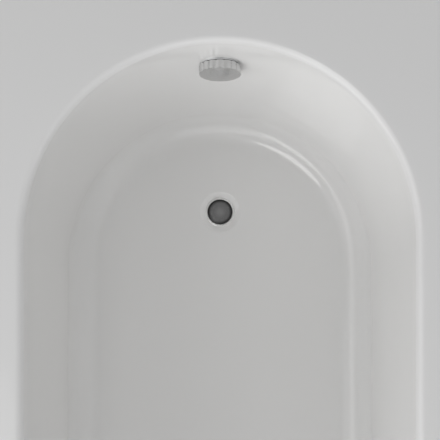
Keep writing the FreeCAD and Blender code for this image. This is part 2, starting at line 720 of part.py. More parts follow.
def build_feet():
    """Four levelling feet: a pad that slides with the stud, and a stud that turns in it."""
    for x, side, name in bracket_spots():
        y = f"{side} * {FOOT_Y}"
        foot = new_body("foot_pad_" + name)
        place(foot, x, y, "0")
        bore = "sizes.stud_radius + sizes.running_gap"
        turned(
            foot,
            [
                ("0", "0"), ("sizes.pad_radius", "0"), ("sizes.pad_radius", "sizes.pad_edge"),
                ("sizes.pad_neck_radius + 2", "sizes.pad_height * 0.6"),
                ("sizes.pad_neck_radius", "sizes.pad_height"), (bore, "sizes.pad_height"),
                (bore, "sizes.socket_floor"), ("0", "sizes.socket_floor"),
            ],
        )
        stud = new_body("foot_stud_" + name)
        place(stud, x, y, "0")
        low = "sizes.pad_height + sizes.running_gap * 2"
        high = f"{low} + sizes.collar_height"
        top = f"{BEARER_TOP} + sizes.stud_top"
        foot_end = "sizes.socket_floor + sizes.running_gap"
        turned(
            stud,
            [
                ("0", foot_end), ("sizes.stud_radius", foot_end), ("sizes.stud_radius", low),
                ("sizes.collar_radius", low), ("sizes.collar_radius", high),
                ("sizes.stud_radius", high), ("sizes.stud_radius", top), ("0", top),
            ],
        )
        flats = new_sketch(stud, "XY_Plane", z=low)
        wide, flat = "sizes.collar_radius + 1", "sizes.collar_radius * 0.8"
        polygon(flats, [(flat, "-" + wide), (wide, "-" + wide), (wide, wide), (flat, wide)])
        cut = pocket(stud, flats, "sizes.collar_height", Reversed=True)
        repeat_round(stud, [cut], 4)


# ---------------------------------------------------------------- drain

def spider(body, low, reach, inner_bore, count):
    """Arms from a central guide bush out to the wall of a hub."""
    bush = new_sketch(body, "XY_Plane", z=low)
    circle(bush, inner_bore)
    circle(bush, f"{inner_bore} + sizes.bush_wall")
    arm = new_sketch(body, "XY_Plane", z=low)
    half, start = "sizes.arm_width / 2", f"{inner_bore} + sizes.bush_wall / 2"
    polygon(arm, [(start, "-" + half), (reach, "-" + half), (reach, half), (start, half)])
    first = pad(body, arm, "sizes.arm_depth")
    repeat_round(body, [first], count)
    pad(body, bush, "sizes.arm_depth")


def build_drain():
    """Flange, plug and seal in the floor, and the waste cup with its lift lever underneath."""
    flange = new_body("drain_flange")
    place_on_drain(flange)
    bore = "(sizes.hub_radius - sizes.hub_wall)"
    recess = "(sizes.plug_radius + 0.5)"
    turned(
        flange,
        [
            (bore, "-sizes.hub_drop"), ("sizes.hub_radius", "-sizes.hub_drop"),
            ("sizes.hub_radius", "0"), ("sizes.flange_radius", "0"),
            ("sizes.flange_radius", "sizes.flange_thick * 0.6"),
            ("sizes.flange_radius - 0.8", "sizes.flange_thick"),
            (f"{recess} + 0.6", "sizes.flange_thick"), (recess, "sizes.flange_thick - 0.6"),
            (recess, "0.9"), (f"{bore} + 1", "-2.6"), (bore, "-4.5"),
        ],
    )
    guide = "sizes.stem_radius + sizes.running_gap"
    spider(flange, "-sizes.hub_drop", "sizes.hub_radius - 1", guide, 3)

    plug = new_body("drain_plug")
    place_on_drain(plug)
    turned(
        plug,
        [
            ("0", "-1.8"), ("sizes.hub_radius - 8", "-1.8"), ("sizes.hub_radius - 8", "0.4"),
            ("sizes.plug_radius - 2.2", "0.4"), ("sizes.plug_radius - 0.6", "1.4"),
            ("sizes.plug_radius", "sizes.plug_crown - 1.9"),
            ("sizes.plug_radius - 1", "sizes.plug_crown - 1.2"),
            ("sizes.plug_radius * 0.72", "sizes.plug_crown - 0.5"),
            ("sizes.plug_radius * 0.4", "sizes.plug_crown - 0.1"), ("0", "sizes.plug_crown"),
        ],
    )
    seal = new_body("plug_seal")
    place_on_drain(seal)
    turned(
        seal,
        [
            ("sizes.hub_radius - 8", "-1.8"), ("sizes.hub_radius - 2.9", "-1.8"),
            ("sizes.hub_radius - 1.7", "0.1"), ("sizes.hub_radius - 2.8", "0.4"),
            ("sizes.hub_radius - 8", "0.4"),
        ],
    )
    stem = new_body("plug_stem")
    place_on_drain(stem)
    turned(
        stem,
        [
            ("0", "-sizes.stem_drop"), ("sizes.stem_head_radius", "-sizes.stem_drop"),
            ("sizes.stem_head_radius", "4 - sizes.stem_drop"),
            ("sizes.stem_radius", "4 - sizes.stem_drop"), ("sizes.stem_radius", "-1.8"),
            ("0", "-1.8"),
        ],
    )
    gasket = new_body("waste_gasket")
    place_on_drain(gasket)
    turned(
        gasket,
        [
            ("sizes.hub_radius + 1", "-" + CUP_TOP), ("sizes.cup_flange_radius", "-" + CUP_TOP),
            ("sizes.cup_flange_radius", "-sizes.shell_wall"),
            ("sizes.hub_radius + 1", "-sizes.shell_wall"),
        ],
    )
    build_waste_cup()
    build_lever()


def build_waste_cup():
    """Moulded cup under the drain, with a hose inlet, a cable port and a threaded outlet."""
    cup = new_body("waste_body")
    place_on_drain(cup)
    floor_top = "(sizes.cup_floor_thick - sizes.cup_floor)"
    inner = "(sizes.cup_radius - sizes.cup_wall)"
    turned(
        cup,
        [
            ("0", "-sizes.outlet_drop"), ("sizes.outlet_radius", "-sizes.outlet_drop"),
            ("sizes.outlet_radius", "-sizes.cup_floor"), ("sizes.cup_radius", "-sizes.cup_floor"),
            ("sizes.cup_radius", f"-{CUP_TOP} - sizes.flange_back_thick"),
            ("sizes.cup_flange_radius", f"-{CUP_TOP} - sizes.flange_back_thick"),
            ("sizes.cup_flange_radius", "-" + CUP_TOP), ("0", "-" + CUP_TOP),
        ],
    )
    inlet = new_sketch(cup, "YZ_Plane")
    circle(inlet, "sizes.spigot_radius", y="-sizes.inlet_drop")
    pad(cup, inlet, "sizes.spigot_length")
    port = new_sketch(cup, "YZ_Plane")
    circle(port, "sizes.port_radius", x="sizes.cable_offset", y="-" + CABLE_DROP)
    pad(cup, port, "sizes.port_length")
    bore = "(sizes.outlet_radius - sizes.outlet_wall)"
    turned(
        cup,
        [
            ("0", "-sizes.outlet_drop - 1"), (bore, "-sizes.outlet_drop - 1"),
            (bore, floor_top), (inner, floor_top),
            (inner, "-sizes.hub_drop - 0.5"), ("sizes.hub_radius + sizes.fit_gap", "-sizes.hub_drop - 0.5"),
            ("sizes.hub_radius + sizes.fit_gap", "0"), ("0", "0"),
        ],
        cut=True,
    )
    inlet_bore = new_sketch(cup, "YZ_Plane")
    circle(inlet_bore, "sizes.spigot_radius - sizes.spigot_wall", y="-sizes.inlet_drop")
    pocket(cup, inlet_bore, "sizes.spigot_length + 1", Reversed=True)
    port_bore = new_sketch(cup, "YZ_Plane")
    bore = "sizes.wire_radius + 2 * sizes.running_gap"
    circle(port_bore, bore, x="sizes.cable_offset", y="-" + CABLE_DROP)
    pocket(cup, port_bore, "sizes.port_length + 1", Reversed=True)


def build_lever():
    """Bell crank in the cup: the cable pulls its lower arm and its tip lifts the plug's stem."""
    lever = new_body("lift_lever")
    place_on_drain(lever)
    back, drop = "sizes.pivot_back", "sizes.pivot_drop"
    top = "-(sizes.stem_drop + sizes.lever_gap)"
    side = new_sketch(lever, "XZ_Plane")
    polygon(
        side,
        [
            (f"-{back} - 4", f"-{drop} + 3.5"), (f"-{back} + 8", top),
            (f"-{back} + sizes.lever_reach", top), (f"-{back} + sizes.lever_reach", f"{top} - 3"),
            (f"-{back} + 5", f"-{drop} - 4"), (f"-{back} + 3", f"-{CABLE_DROP} - 3"),
            (f"-{back} - 3", f"-{CABLE_DROP} - 3"), (f"-{back} - 4", f"-{drop}"),
        ],
    )
    pad(lever, side, "sizes.lever_thick", SideType="Symmetric")
    hole = new_sketch(lever, "XZ_Plane")
    circle(hole, "sizes.peg_radius + sizes.fit_gap", x="-" + back, y="-" + drop)
    pocket(lever, hole, "2 * sizes.lever_thick", SideType="Symmetric")
    peg = new_sketch(lever, "XZ_Plane")
    circle(peg, "sizes.peg_radius", x="-" + back, y="-" + CABLE_DROP)
    pad(lever, peg, "sizes.cable_offset + 3", Reversed=True)

    pin = new_body("lever_pin")
    place_on_drain(pin)
    inner = "(sizes.cup_radius - sizes.cup_wall)"
    section = new_sketch(pin, "XZ_Plane")
    circle(section, "sizes.peg_radius", x="-" + back, y="-" + drop)
    side = "(sizes.pivot_back + sizes.peg_radius)"
    chord = f"2 * (sqrt({inner} * {inner} - {side} * {side}) - sizes.fit_gap)"
    pad(pin, section, chord, SideType="Symmetric")


# ---------------------------------------------------------------- overflow

def cut_by(label, base, tool, side):
    """A sub-part trimmed to another's surface, left a fitting gap off it on the side given."""
    shifted = doc.addObject("App::Link", label + "_trim")
    shifted.LinkedObject = tool
    gap = f"{side} * sizes.fit_gap"
    place(shifted, f"-({gap}) * cos(sizes.end_draft)", "0", f"({gap}) * sin(sizes.end_draft)")
    made = doc.addObject("Part::Cut", label)
    made.Label = label
    made.Base, made.Tool = base, shifted
    doc.recompute()
    PARTS.remove(base)
    PARTS.append(made)


def build_overflow(basin):
    """Collar, gasket and water chamber on the drain-end wall, with the cable drum behind."""
    blank = new_body("overflow_gasket_blank")
    place_on_overflow(blank)
    turned(
        blank,
        [
            ("sizes.thread_radius + 1.5", "-" + OVERFLOW_BACK),
            ("sizes.overflow_flange_radius", "-" + OVERFLOW_BACK),
            ("sizes.overflow_flange_radius", "-sizes.gasket_thick"),
            ("sizes.thread_radius + 1.5", "-sizes.gasket_thick"),
        ],
    )
    cut_by("overflow_gasket", blank, basin, -0.5)

    collar = new_body("overflow_collar_blank")
    place_on_overflow(collar)
    foot = f"-{OVERFLOW_BACK} - sizes.flange_back_thick - 2"
    turned(
        collar,
        [
            ("sizes.collar_bore", foot), ("sizes.thread_radius", foot),
            ("sizes.thread_radius", "-sizes.collar_face"),
            ("sizes.collar_flange_radius", "-sizes.collar_face"),
            ("sizes.collar_flange_radius", "sizes.collar_face"),
            ("sizes.collar_bore", "sizes.collar_face"),
        ],
    )
    spider(collar, foot, "sizes.collar_bore + 1", "sizes.spindle_radius + sizes.fit_gap", 4)
    cut_by("overflow_collar", collar, basin, 0.7)

    chamber = new_body("overflow_body")
    place_on_overflow(chamber)
    back = "-" + CHAMBER_BACK
    front = "-" + OVERFLOW_BACK
    turned(
        chamber,
        [
            ("0", back), ("sizes.chamber_radius", back),
            ("sizes.chamber_radius", f"{front} - sizes.flange_back_thick"),
            ("sizes.overflow_flange_radius", f"{front} - sizes.flange_back_thick"),
            ("sizes.overflow_flange_radius", front), ("0", front),
        ],
    )
    spigot = new_sketch(chamber, "YZ_Plane")
    circle(spigot, "sizes.spigot_radius", y="-" + HOSE_BACK)
    pad(chamber, spigot, "sizes.spigot_length", Reversed=True)
    inner = "(sizes.chamber_radius - sizes.cup_wall)"
    thread = "(sizes.thread_radius + sizes.fit_gap)"
    turned(
        chamber,
        [
            ("0", f"{back} + sizes.cup_wall"), (inner, f"{back} + sizes.cup_wall"),
            (inner, f"{front} - sizes.flange_back_thick"),
            (thread, f"{front} - sizes.flange_back_thick"), (thread, f"{front} + 1"),
            ("0", f"{front} + 1"),
        ],
        cut=True,
    )
    bore = new_sketch(chamber, "YZ_Plane")
    circle(bore, "sizes.spigot_radius - sizes.spigot_wall", y="-" + HOSE_BACK)
    pocket(chamber, bore, "sizes.spigot_length + 1")
    bearing = new_sketch(chamber, "XY_Plane", z=f"{back} - 1")
    circle(bearing, "sizes.spindle_radius + sizes.fit_gap")
    pocket(chamber, bearing, "sizes.cup_wall + 2", Reversed=True)

    housing = new_body("drum_housing")
    place_on_overflow(housing)
    far = f"{back} - sizes.housing_depth"
    turned(
        housing,
        [
            ("0", far), ("sizes.housing_radius", far), ("sizes.housing_radius", back), ("0", back),
        ],
    )
    port = new_sketch(housing, "YZ_Plane")
    circle(port, "sizes.port_radius", x="sizes.cable_offset", y="-" + DRUM_BACK)
    pad(housing, port, "sizes.housing_port", Reversed=True)
    room = "(sizes.housing_radius - sizes.housing_wall)"
    turned(
        housing,
        [
            ("0", f"{far} + sizes.housing_wall"), (room, f"{far} + sizes.housing_wall"),
            (room, f"{back} + 1"), ("0", f"{back} + 1"),
        ],
        cut=True,
    )
    wire_way = new_sketch(housing, "YZ_Plane")
    way = "sizes.wire_radius + 2 * sizes.running_gap"
    circle(wire_way, way, x="sizes.cable_offset", y="-" + DRUM_BACK)
    pocket(housing, wire_way, "sizes.housing_port + 1")


def build_knob():
    """Lobed knob, its grub screw, the spindle and the cable drum, which turn as one."""
    knob = new_body("overflow_knob")
    place_on_overflow(knob)
    start, depth = "sizes.knob_start", "sizes.knob_depth"
    lobe = new_sketch(knob, "XY_Plane", z=start)
    circle(lobe, "sizes.lobe_radius", x="sizes.knob_radius - sizes.lobe_radius")
    first = pad(knob, lobe, depth)
    repeat_round(knob, [first], "sizes.knob_lobes")
    core = new_sketch(knob, "XY_Plane", z=start)
    circle(core, "sizes.knob_radius - sizes.lobe_radius")
    pad(knob, core, depth)
    face = f"{start} + {depth}"
    turned(
        knob,
        [
            ("sizes.knob_radius - 2 * sizes.knob_bevel", f"{face} + 1"),
            ("sizes.knob_radius - 2 * sizes.knob_bevel", face),
            ("sizes.knob_radius + 1", f"{face} - sizes.knob_bevel * 1.4"),
            ("sizes.knob_radius + 1", f"{face} + 1"),
        ],
        cut=True,
    )
    cavity = "(sizes.knob_radius - sizes.lobe_radius + sizes.lobe_radius * 0.75 - sizes.knob_wall)"
    turned(
        knob,
        [
            ("sizes.knob_boss", f"{start} - 1"), (cavity, f"{start} - 1"),
            (cavity, f"{face} - sizes.knob_front"), ("sizes.knob_boss", f"{face} - sizes.knob_front"),
        ],
        cut=True,
    )
    socket = new_sketch(knob, "XY_Plane", z=f"{start} - 1")
    circle(socket, "sizes.spindle_radius + sizes.press_gap")
    pocket(knob, socket, "sizes.spindle_reach + 1 + sizes.fit_gap - sizes.knob_start", Reversed=True)
    grub_height = f"{start} + {depth} / 2 - 1"
    hole = new_sketch(knob, "YZ_Plane")
    circle(hole, "sizes.grub_radius + sizes.press_gap", y=grub_height)
    pocket(knob, hole, "sizes.knob_radius + 1")

    grub = new_body("knob_grub_screw")
    place_on_overflow(grub)
    section = new_sketch(grub, "YZ_Plane", z="-(sizes.knob_boss - 0.4)")
    circle(section, "sizes.grub_radius", y=grub_height)
    pad(grub, section, "sizes.knob_boss - 0.4 - sizes.spindle_radius")

    spindle = new_body("overflow_spindle")
    place_on_overflow(spindle)
    low = f"-{DRUM_BACK} - sizes.drum_thick / 2 - 1"
    turned(
        spindle,
        [
            ("0", low), ("sizes.spindle_radius", low),
            ("sizes.spindle_radius", "sizes.spindle_reach"), ("0", "sizes.spindle_reach"),
        ],
    )
    drum = new_body("cable_drum")
    place_on_overflow(drum)
    rim = "sizes.cable_offset - sizes.wire_radius - sizes.running_gap"
    low = f"-{DRUM_BACK} - sizes.drum_thick / 2"
    high = f"-{DRUM_BACK} + sizes.drum_thick / 2"
    bore = "sizes.spindle_radius + sizes.press_gap"
    turned(drum, [(bore, low), (rim, low), (rim, high), (bore, high)])


def build_cable():
    """The two sliding ends of the pull wire, the sheath between the ports, and the wire inside."""
    upper = new_body("cable_end_upper")
    place_on_overflow(upper)
    rod = new_sketch(upper, "YZ_Plane", z="-(sizes.housing_port + sizes.wire_entry)")
    circle(rod, "sizes.wire_radius", x="sizes.cable_offset", y="-" + DRUM_BACK)
    pad(upper, rod, "sizes.housing_port + sizes.wire_entry + 5")
    nipple = new_sketch(upper, "YZ_Plane", z="4")
    circle(nipple, "sizes.wire_radius + 0.6", x="sizes.cable_offset", y="-" + DRUM_BACK)
    pad(upper, nipple, "3")

    lower = new_body("cable_end_lower")
    place_on_drain(lower)
    back = "sizes.pivot_back"
    rise = "sizes.lever_arm * (1 - cos(30))"
    slot = "(sizes.peg_radius + sizes.eye_gap)"
    eye = new_sketch(lower, "XZ_Plane", z="-(sizes.cable_offset - 2)")
    low, high = f"-{CABLE_DROP} - {slot}", f"-{CABLE_DROP} + {rise} + {slot}"
    polygon(
        eye,
        [
            (f"-{back} - {slot} - 2", f"{low} - 1.6"), (f"-{back} + {slot} + 2", f"{low} - 1.6"),
            (f"-{back} + {slot} + 2", f"{high} + 1.6"), (f"-{back} - {slot} - 2", f"{high} + 1.6"),
        ],
    )
    polygon(
        eye,
        [
            (f"-{back} - ({slot})", low), (f"-{back} + {slot}", low),
            (f"-{back} + {slot}", high), (f"-{back} - ({slot})", high),
        ],
    )
    pad(lower, eye, "4", Reversed=True)
    wire = new_sketch(lower, "YZ_Plane", z=f"-{back} + {slot} + 1")
    circle(wire, "sizes.wire_radius", x="sizes.cable_offset", y="-" + CABLE_DROP)
    pad(lower, wire, f"{back} - ({slot}) - 1 + sizes.port_length + sizes.wire_entry / 2")

    corner = (wall_corner(DRUM_BACK, CABLE_Z), CABLE_Z)
    for label, bore, radius, gap_low, gap_high in (
        ("cable_sheath", "sizes.sheath_bore", "sizes.sheath_radius", "0", "0"),
        (
            "cable_core", None, "sizes.wire_radius",
            "sizes.wire_entry / 2 + sizes.wire_gap", "sizes.wire_entry + 2",
        ),
    ):
        body = new_body(label)
        start = f"{DRAIN_X} + sizes.port_length + {gap_low}"
        path = new_sketch(body, "XZ_Plane", z="-sizes.cable_offset")
        top = along_wall(f"-sizes.housing_port - ({gap_high})", "-" + DRUM_BACK)
        edges = bent_path(path, [(start, CABLE_Z), corner, top], "sizes.sheath_bend")
        profile = new_sketch(body, "YZ_Plane", z=start)
        circle(profile, radius, x="sizes.cable_offset", y=CABLE_Z)
        if bore:
            circle(profile, bore, x="sizes.cable_offset", y=CABLE_Z)
        pipe(body, path, profile, edges)


def build_hose():
    """Overflow hose down behind the wall, its two worm-drive clamps, and the cable's clips."""
    hose = new_body("overflow_hose")
    start = f"{DRAIN_X} + sizes.spigot_length - sizes.hose_overlap"
    top = along_wall("sizes.hose_overlap - sizes.spigot_length", "-" + HOSE_BACK)
    path = new_sketch(hose, "XZ_Plane")
    corner = (wall_corner(HOSE_BACK, INLET_Z), INLET_Z)
    edges = bent_path(path, [(start, INLET_Z), corner, top], "sizes.hose_bend")
    profile = new_sketch(hose, "YZ_Plane", z=start)
    circle(profile, HOSE_BORE, y=INLET_Z)
    circle(profile, HOSE_RADIUS, y=INLET_Z)
    pipe(hose, path, profile, edges)

    inner = f"{HOSE_RADIUS} + sizes.press_gap"
    outer = f"{inner} + sizes.clamp_thick"
    for label, upper in (("hose_clamp_lower", False), ("hose_clamp_upper", True)):
        clamp = new_body(label)
        if upper:
            place_on_overflow(clamp)
            middle = "sizes.hose_overlap / 2 - sizes.spigot_length"
            height = "-" + HOSE_BACK
        else:
            place_on_drain(clamp)
            middle = "sizes.spigot_length - sizes.hose_overlap / 2"
            height = "-sizes.inlet_drop"
        band = new_sketch(clamp, "YZ_Plane", z=middle)
        circle(band, inner, y=height)
        circle(band, outer, y=height)
        pad(clamp, band, "sizes.clamp_width", SideType="Symmetric")
        worm = new_sketch(clamp, "YZ_Plane", z=middle)
        reach = f"{inner} + sizes.clamp_thick / 2"
        polygon(
            worm,
            [
                (f"-({reach}) - 7", f"{height} - 7"), (f"-({reach})", f"{height} - 7"),
                (f"-({reach})", f"{height} + 7"), (f"-({reach}) - 7", f"{height} + 7"),
            ],
        )
        pad(clamp, worm, "sizes.clamp_width", SideType="Symmetric")

    clips = []
    spots = [
        (along_wall(f"-sizes.spigot_length - {far}", "-" + HOSE_BACK),
         along_wall(f"-sizes.spigot_length - {far}", "-" + DRUM_BACK), "sizes.end_draft - 90")
        for far in (60, 150)
    ]
    level = f"{DRAIN_X} + sizes.spigot_length + 30"
    spots.append(((level, INLET_Z), (level, CABLE_Z), "0"))
    for (hose_x, hose_z), (wire_x, wire_z), turn in spots:
        hose_at = Vector(number(hose_x), 0, number(hose_z))
        wire_at = Vector(number(wire_x), number("sizes.cable_offset"), number(wire_z))
        facing = Rotation(Vector(0, 1, 0), number(turn)).multVec(Vector(1, 0, 0))
        width, wall = 8, 1.6
        hose_r = number(HOSE_RADIUS) + 0.7 * number("sizes.fit_gap")
        wire_r = number("sizes.sheath_radius") + 0.7 * number("sizes.fit_gap")
        back = facing * (-width / 2)
        rings = Part.makeCylinder(hose_r + wall, width, hose_at + back, facing)
        rings = rings.fuse(Part.makeCylinder(wire_r + wall, width, wire_at + back, facing))
        span = wire_at - hose_at
        web = Part.makeBox(width, 3, span.Length, Vector(-width / 2, -1.5, 0))
        upright = span.normalize()
        side = upright.cross(facing)
        frame = FreeCAD.Matrix(
            facing.x, side.x, upright.x, hose_at.x, facing.y, side.y, upright.y, hose_at.y,
            facing.z, side.z, upright.z, hose_at.z, 0, 0, 0, 1,
        )
        web.Placement = Placement(frame)
        rings = rings.fuse(web)
        rings = rings.cut(Part.makeCylinder(hose_r, width, hose_at + back, facing))
        clips.append(rings.cut(Part.makeCylinder(wire_r, width, wire_at + back, facing)))
    made = doc.addObject("Part::Feature", "cable_clips")
    made.Label = "cable_clips"
    made.Shape = Part.makeCompound(clips)
    PARTS.append(made)


# ---------------------------------------------------------------- trap

def build_trap():
    """Two bends and two slip nuts: a trap that leaves straight down into a floor waste."""
    inner = "(sizes.pipe_radius - sizes.pipe_wall)"
    rising_x = f"({DRAIN_X} - sizes.trap_pitch)"
    outlet_x = f"({DRAIN_X} - 2 * sizes.trap_pitch)"
    top = f"({SEAT_Z} - sizes.outlet_drop)"

    bend = new_body("trap_bend")
    path = new_sketch(bend, "XZ_Plane")
    corners = [
        (DRAIN_X, top), (DRAIN_X, "sizes.trap_low"), (rising_x, "sizes.trap_low"),
        (rising_x, "sizes.slip_height"),
    ]
    edges = bent_path(path, corners, "sizes.trap_bend_radius")
    profile = new_sketch(bend, "XY_Plane", z=top)
    circle(profile, "sizes.pipe_radius", x=DRAIN_X)
    circle(profile, inner, x=DRAIN_X)
    pipe(bend, path, profile, edges)
    collar = new_sketch(bend, "XY_Plane", z=top)
    circle(collar, "sizes.outlet_radius - sizes.fit_gap", x=DRAIN_X)
    circle(collar, inner, x=DRAIN_X)
    pad(bend, collar, "sizes.nut_lip", Reversed=True)
    thread = new_sketch(bend, "XY_Plane", z="sizes.slip_height")
    circle(thread, "sizes.outlet_radius", x=rising_x)
    circle(thread, inner, x=rising_x)
    pad(bend, thread, "sizes.slip_height - sizes.trap_low - sizes.trap_bend_radius", Reversed=True)

    outlet = new_body("trap_outlet")
    path = new_sketch(outlet, "XZ_Plane")
    corners = [
        (outlet_x, "sizes.outlet_end"), (outlet_x, "sizes.trap_high"),
        (rising_x, "sizes.trap_high"), (rising_x, "sizes.slip_height"),
    ]
    edges = bent_path(path, corners, "sizes.trap_bend_radius")
    profile = new_sketch(outlet, "XY_Plane", z="sizes.outlet_end")
    circle(profile, "sizes.pipe_radius", x=outlet_x)
    circle(profile, inner, x=outlet_x)
    pipe(outlet, path, profile, edges)
    collar = new_sketch(outlet, "XY_Plane", z="sizes.slip_height")
    circle(collar, "sizes.outlet_radius - sizes.fit_gap", x=rising_x)
    circle(collar, inner, x=rising_x)
    pad(outlet, collar, "sizes.nut_lip")

    for label, x, z, flip in (
        ("trap_inlet_nut", DRAIN_X, top, "0"), ("trap_slip_nut", rising_x, "sizes.slip_height", "180"),
    ):
        nut = new_body(label)
        place(nut, x, "0", z, Vector(0, 1, 0), flip)
        thread_bore = "sizes.outlet_radius + sizes.fit_gap"
        lip_bore = "sizes.pipe_radius + sizes.fit_gap"
        lip = "-sizes.nut_lip - sizes.press_gap"
        turned(
            nut,
            [
                (lip_bore, f"{lip} - 3"), ("sizes.nut_radius - 2", f"{lip} - 3"),
                ("sizes.nut_radius - 2", "sizes.outlet_drop - sizes.cup_floor - 4"),
                (thread_bore, "sizes.outlet_drop - sizes.cup_floor - 4"),
                (thread_bore, lip), (lip_bore, lip),
            ],
        )
        rib = new_sketch(nut, "XY_Plane", z=f"{lip} - 3")
        reach = "sizes.nut_radius"
        polygon(
            rib,
            [
                ("sizes.nut_radius - 3", "-2"), (reach, "-2"), (reach, "2"),
                ("sizes.nut_radius - 3", "2"),
            ],
        )
        height = f"sizes.outlet_drop - sizes.cup_floor - 4 - ({lip} - 3)"
        first = pad(nut, rib, height)
        repeat_round(nut, [first], 10)


# ---------------------------------------------------------------- check and write

def check_and_write():
    """Stop on any failed object, then write one STEP file for each sub-part."""
    doc.recompute()
    for item in doc.Objects:
        bad = [state for state in item.State if state in ("Invalid", "Error")]
        if bad:
            raise ValueError(f"{item.Label} is {bad}")
    os.makedirs("parts", exist_ok=True)
    for part in PARTS:
        shape = part.Shape
        if shape.isNull() or not shape.isValid() or not shape.Solids:
            raise ValueError(f"{part.Label} has no valid shape")
        shape.exportStep(os.path.join("parts", part.Label + ".step"))
        print(f"{part.Label}: {len(shape.Solids)} solid(s), {shape.Volume / 1000:.1f} cm3")


basin_body = build_basin()
build_skirt()
build_board_and_battens()
build_frame()
build_brackets()
build_fasteners()
build_feet()
build_drain()
build_overflow(basin_body)
build_knob()
build_cable()
build_hose()
build_trap()
check_and_write()
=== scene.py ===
"""Looks of a freestanding bathtub: moulded shell, lobed chrome knob, drain and the works underneath."""
import json
import logging
import math
from dataclasses import dataclass, field
from enum import Enum
from functools import cache
from typing import Iterable, Sequence

import bmesh
import bpy
import numpy as np
from mathutils import Matrix, Vector


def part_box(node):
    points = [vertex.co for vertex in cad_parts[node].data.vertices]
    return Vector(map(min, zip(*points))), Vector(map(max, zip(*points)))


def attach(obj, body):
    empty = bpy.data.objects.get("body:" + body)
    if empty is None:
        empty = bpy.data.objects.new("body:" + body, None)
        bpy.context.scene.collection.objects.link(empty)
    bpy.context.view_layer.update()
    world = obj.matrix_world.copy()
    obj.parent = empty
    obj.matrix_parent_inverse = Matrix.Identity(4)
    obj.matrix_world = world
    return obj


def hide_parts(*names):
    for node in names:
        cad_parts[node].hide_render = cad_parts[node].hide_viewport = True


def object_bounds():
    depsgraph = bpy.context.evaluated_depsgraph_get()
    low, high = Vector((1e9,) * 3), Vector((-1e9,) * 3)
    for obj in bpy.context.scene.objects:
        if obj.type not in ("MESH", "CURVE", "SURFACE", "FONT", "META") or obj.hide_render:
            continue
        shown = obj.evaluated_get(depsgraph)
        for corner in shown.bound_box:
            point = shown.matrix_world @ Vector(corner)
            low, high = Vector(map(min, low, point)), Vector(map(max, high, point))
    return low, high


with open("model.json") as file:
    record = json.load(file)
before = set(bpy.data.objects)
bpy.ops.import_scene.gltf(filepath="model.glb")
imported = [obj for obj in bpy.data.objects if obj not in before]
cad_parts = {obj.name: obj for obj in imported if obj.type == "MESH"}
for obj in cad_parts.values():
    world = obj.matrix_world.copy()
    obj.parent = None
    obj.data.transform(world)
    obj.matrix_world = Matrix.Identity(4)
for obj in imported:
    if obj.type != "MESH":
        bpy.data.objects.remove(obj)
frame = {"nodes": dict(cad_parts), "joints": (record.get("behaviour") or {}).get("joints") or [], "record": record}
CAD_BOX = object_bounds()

log = logging.getLogger("bathtub")
MM = 0.001
TAU = math.tau

BMesh = bmesh.types.BMesh
Material = bpy.types.Material
Piece = bpy.types.Object
Socket = bpy.types.NodeSocket
Colour = tuple[float, float, float]
Feed = Socket | float | int | bool | str | tuple | None
Loop = list[bmesh.types.BMVert]
Profile = list[tuple[float, float]]


# ---------------------------------------------------------------- frame


@cache
def cad_box(node: str) -> tuple[Vector, Vector]:
    """The low and high corners of a CAD node's box."""
    low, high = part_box(node)
    return low, high


# ---------------------------------------------------------------- nodes


def put(
    tree: bpy.types.NodeTree,
    kind: str,
    feeds: dict[int | str, Feed] | None = None,
    out: int | str = 0,
    **settings: object,
) -> Socket:
    """Adds a node, sets it up and feeds its inputs.

    Args:
        tree: The tree that gets the node.
        kind: The node's type.
        feeds: Input number or name to a socket that is linked, or to a constant.
        out: Which output is handed back.
        settings: Properties of the node.

    Returns:
        The chosen output socket.
    """
    node = tree.nodes.new(kind)
    for key, value in settings.items():
        setattr(node, key, value)
    for key, feed in (feeds or {}).items():
        if isinstance(feed, Socket):
            tree.links.new(feed, node.inputs[key])
        elif feed is not None:
            node.inputs[key].default_value = feed
    return node.outputs[out]


def sums(tree: bpy.types.NodeTree, operation: str, *feeds: Feed) -> Socket:
    """One Math node on up to three numbers."""
    return put(tree, "ShaderNodeMath", dict(enumerate(feeds)), operation=operation)


def vectors(tree: bpy.types.NodeTree, operation: str, *feeds: Feed, out: int = 0) -> Socket:
    """One Vector Math node on up to three vectors."""
    return put(tree, "ShaderNodeVectorMath", dict(enumerate(feeds)), out, operation=operation)


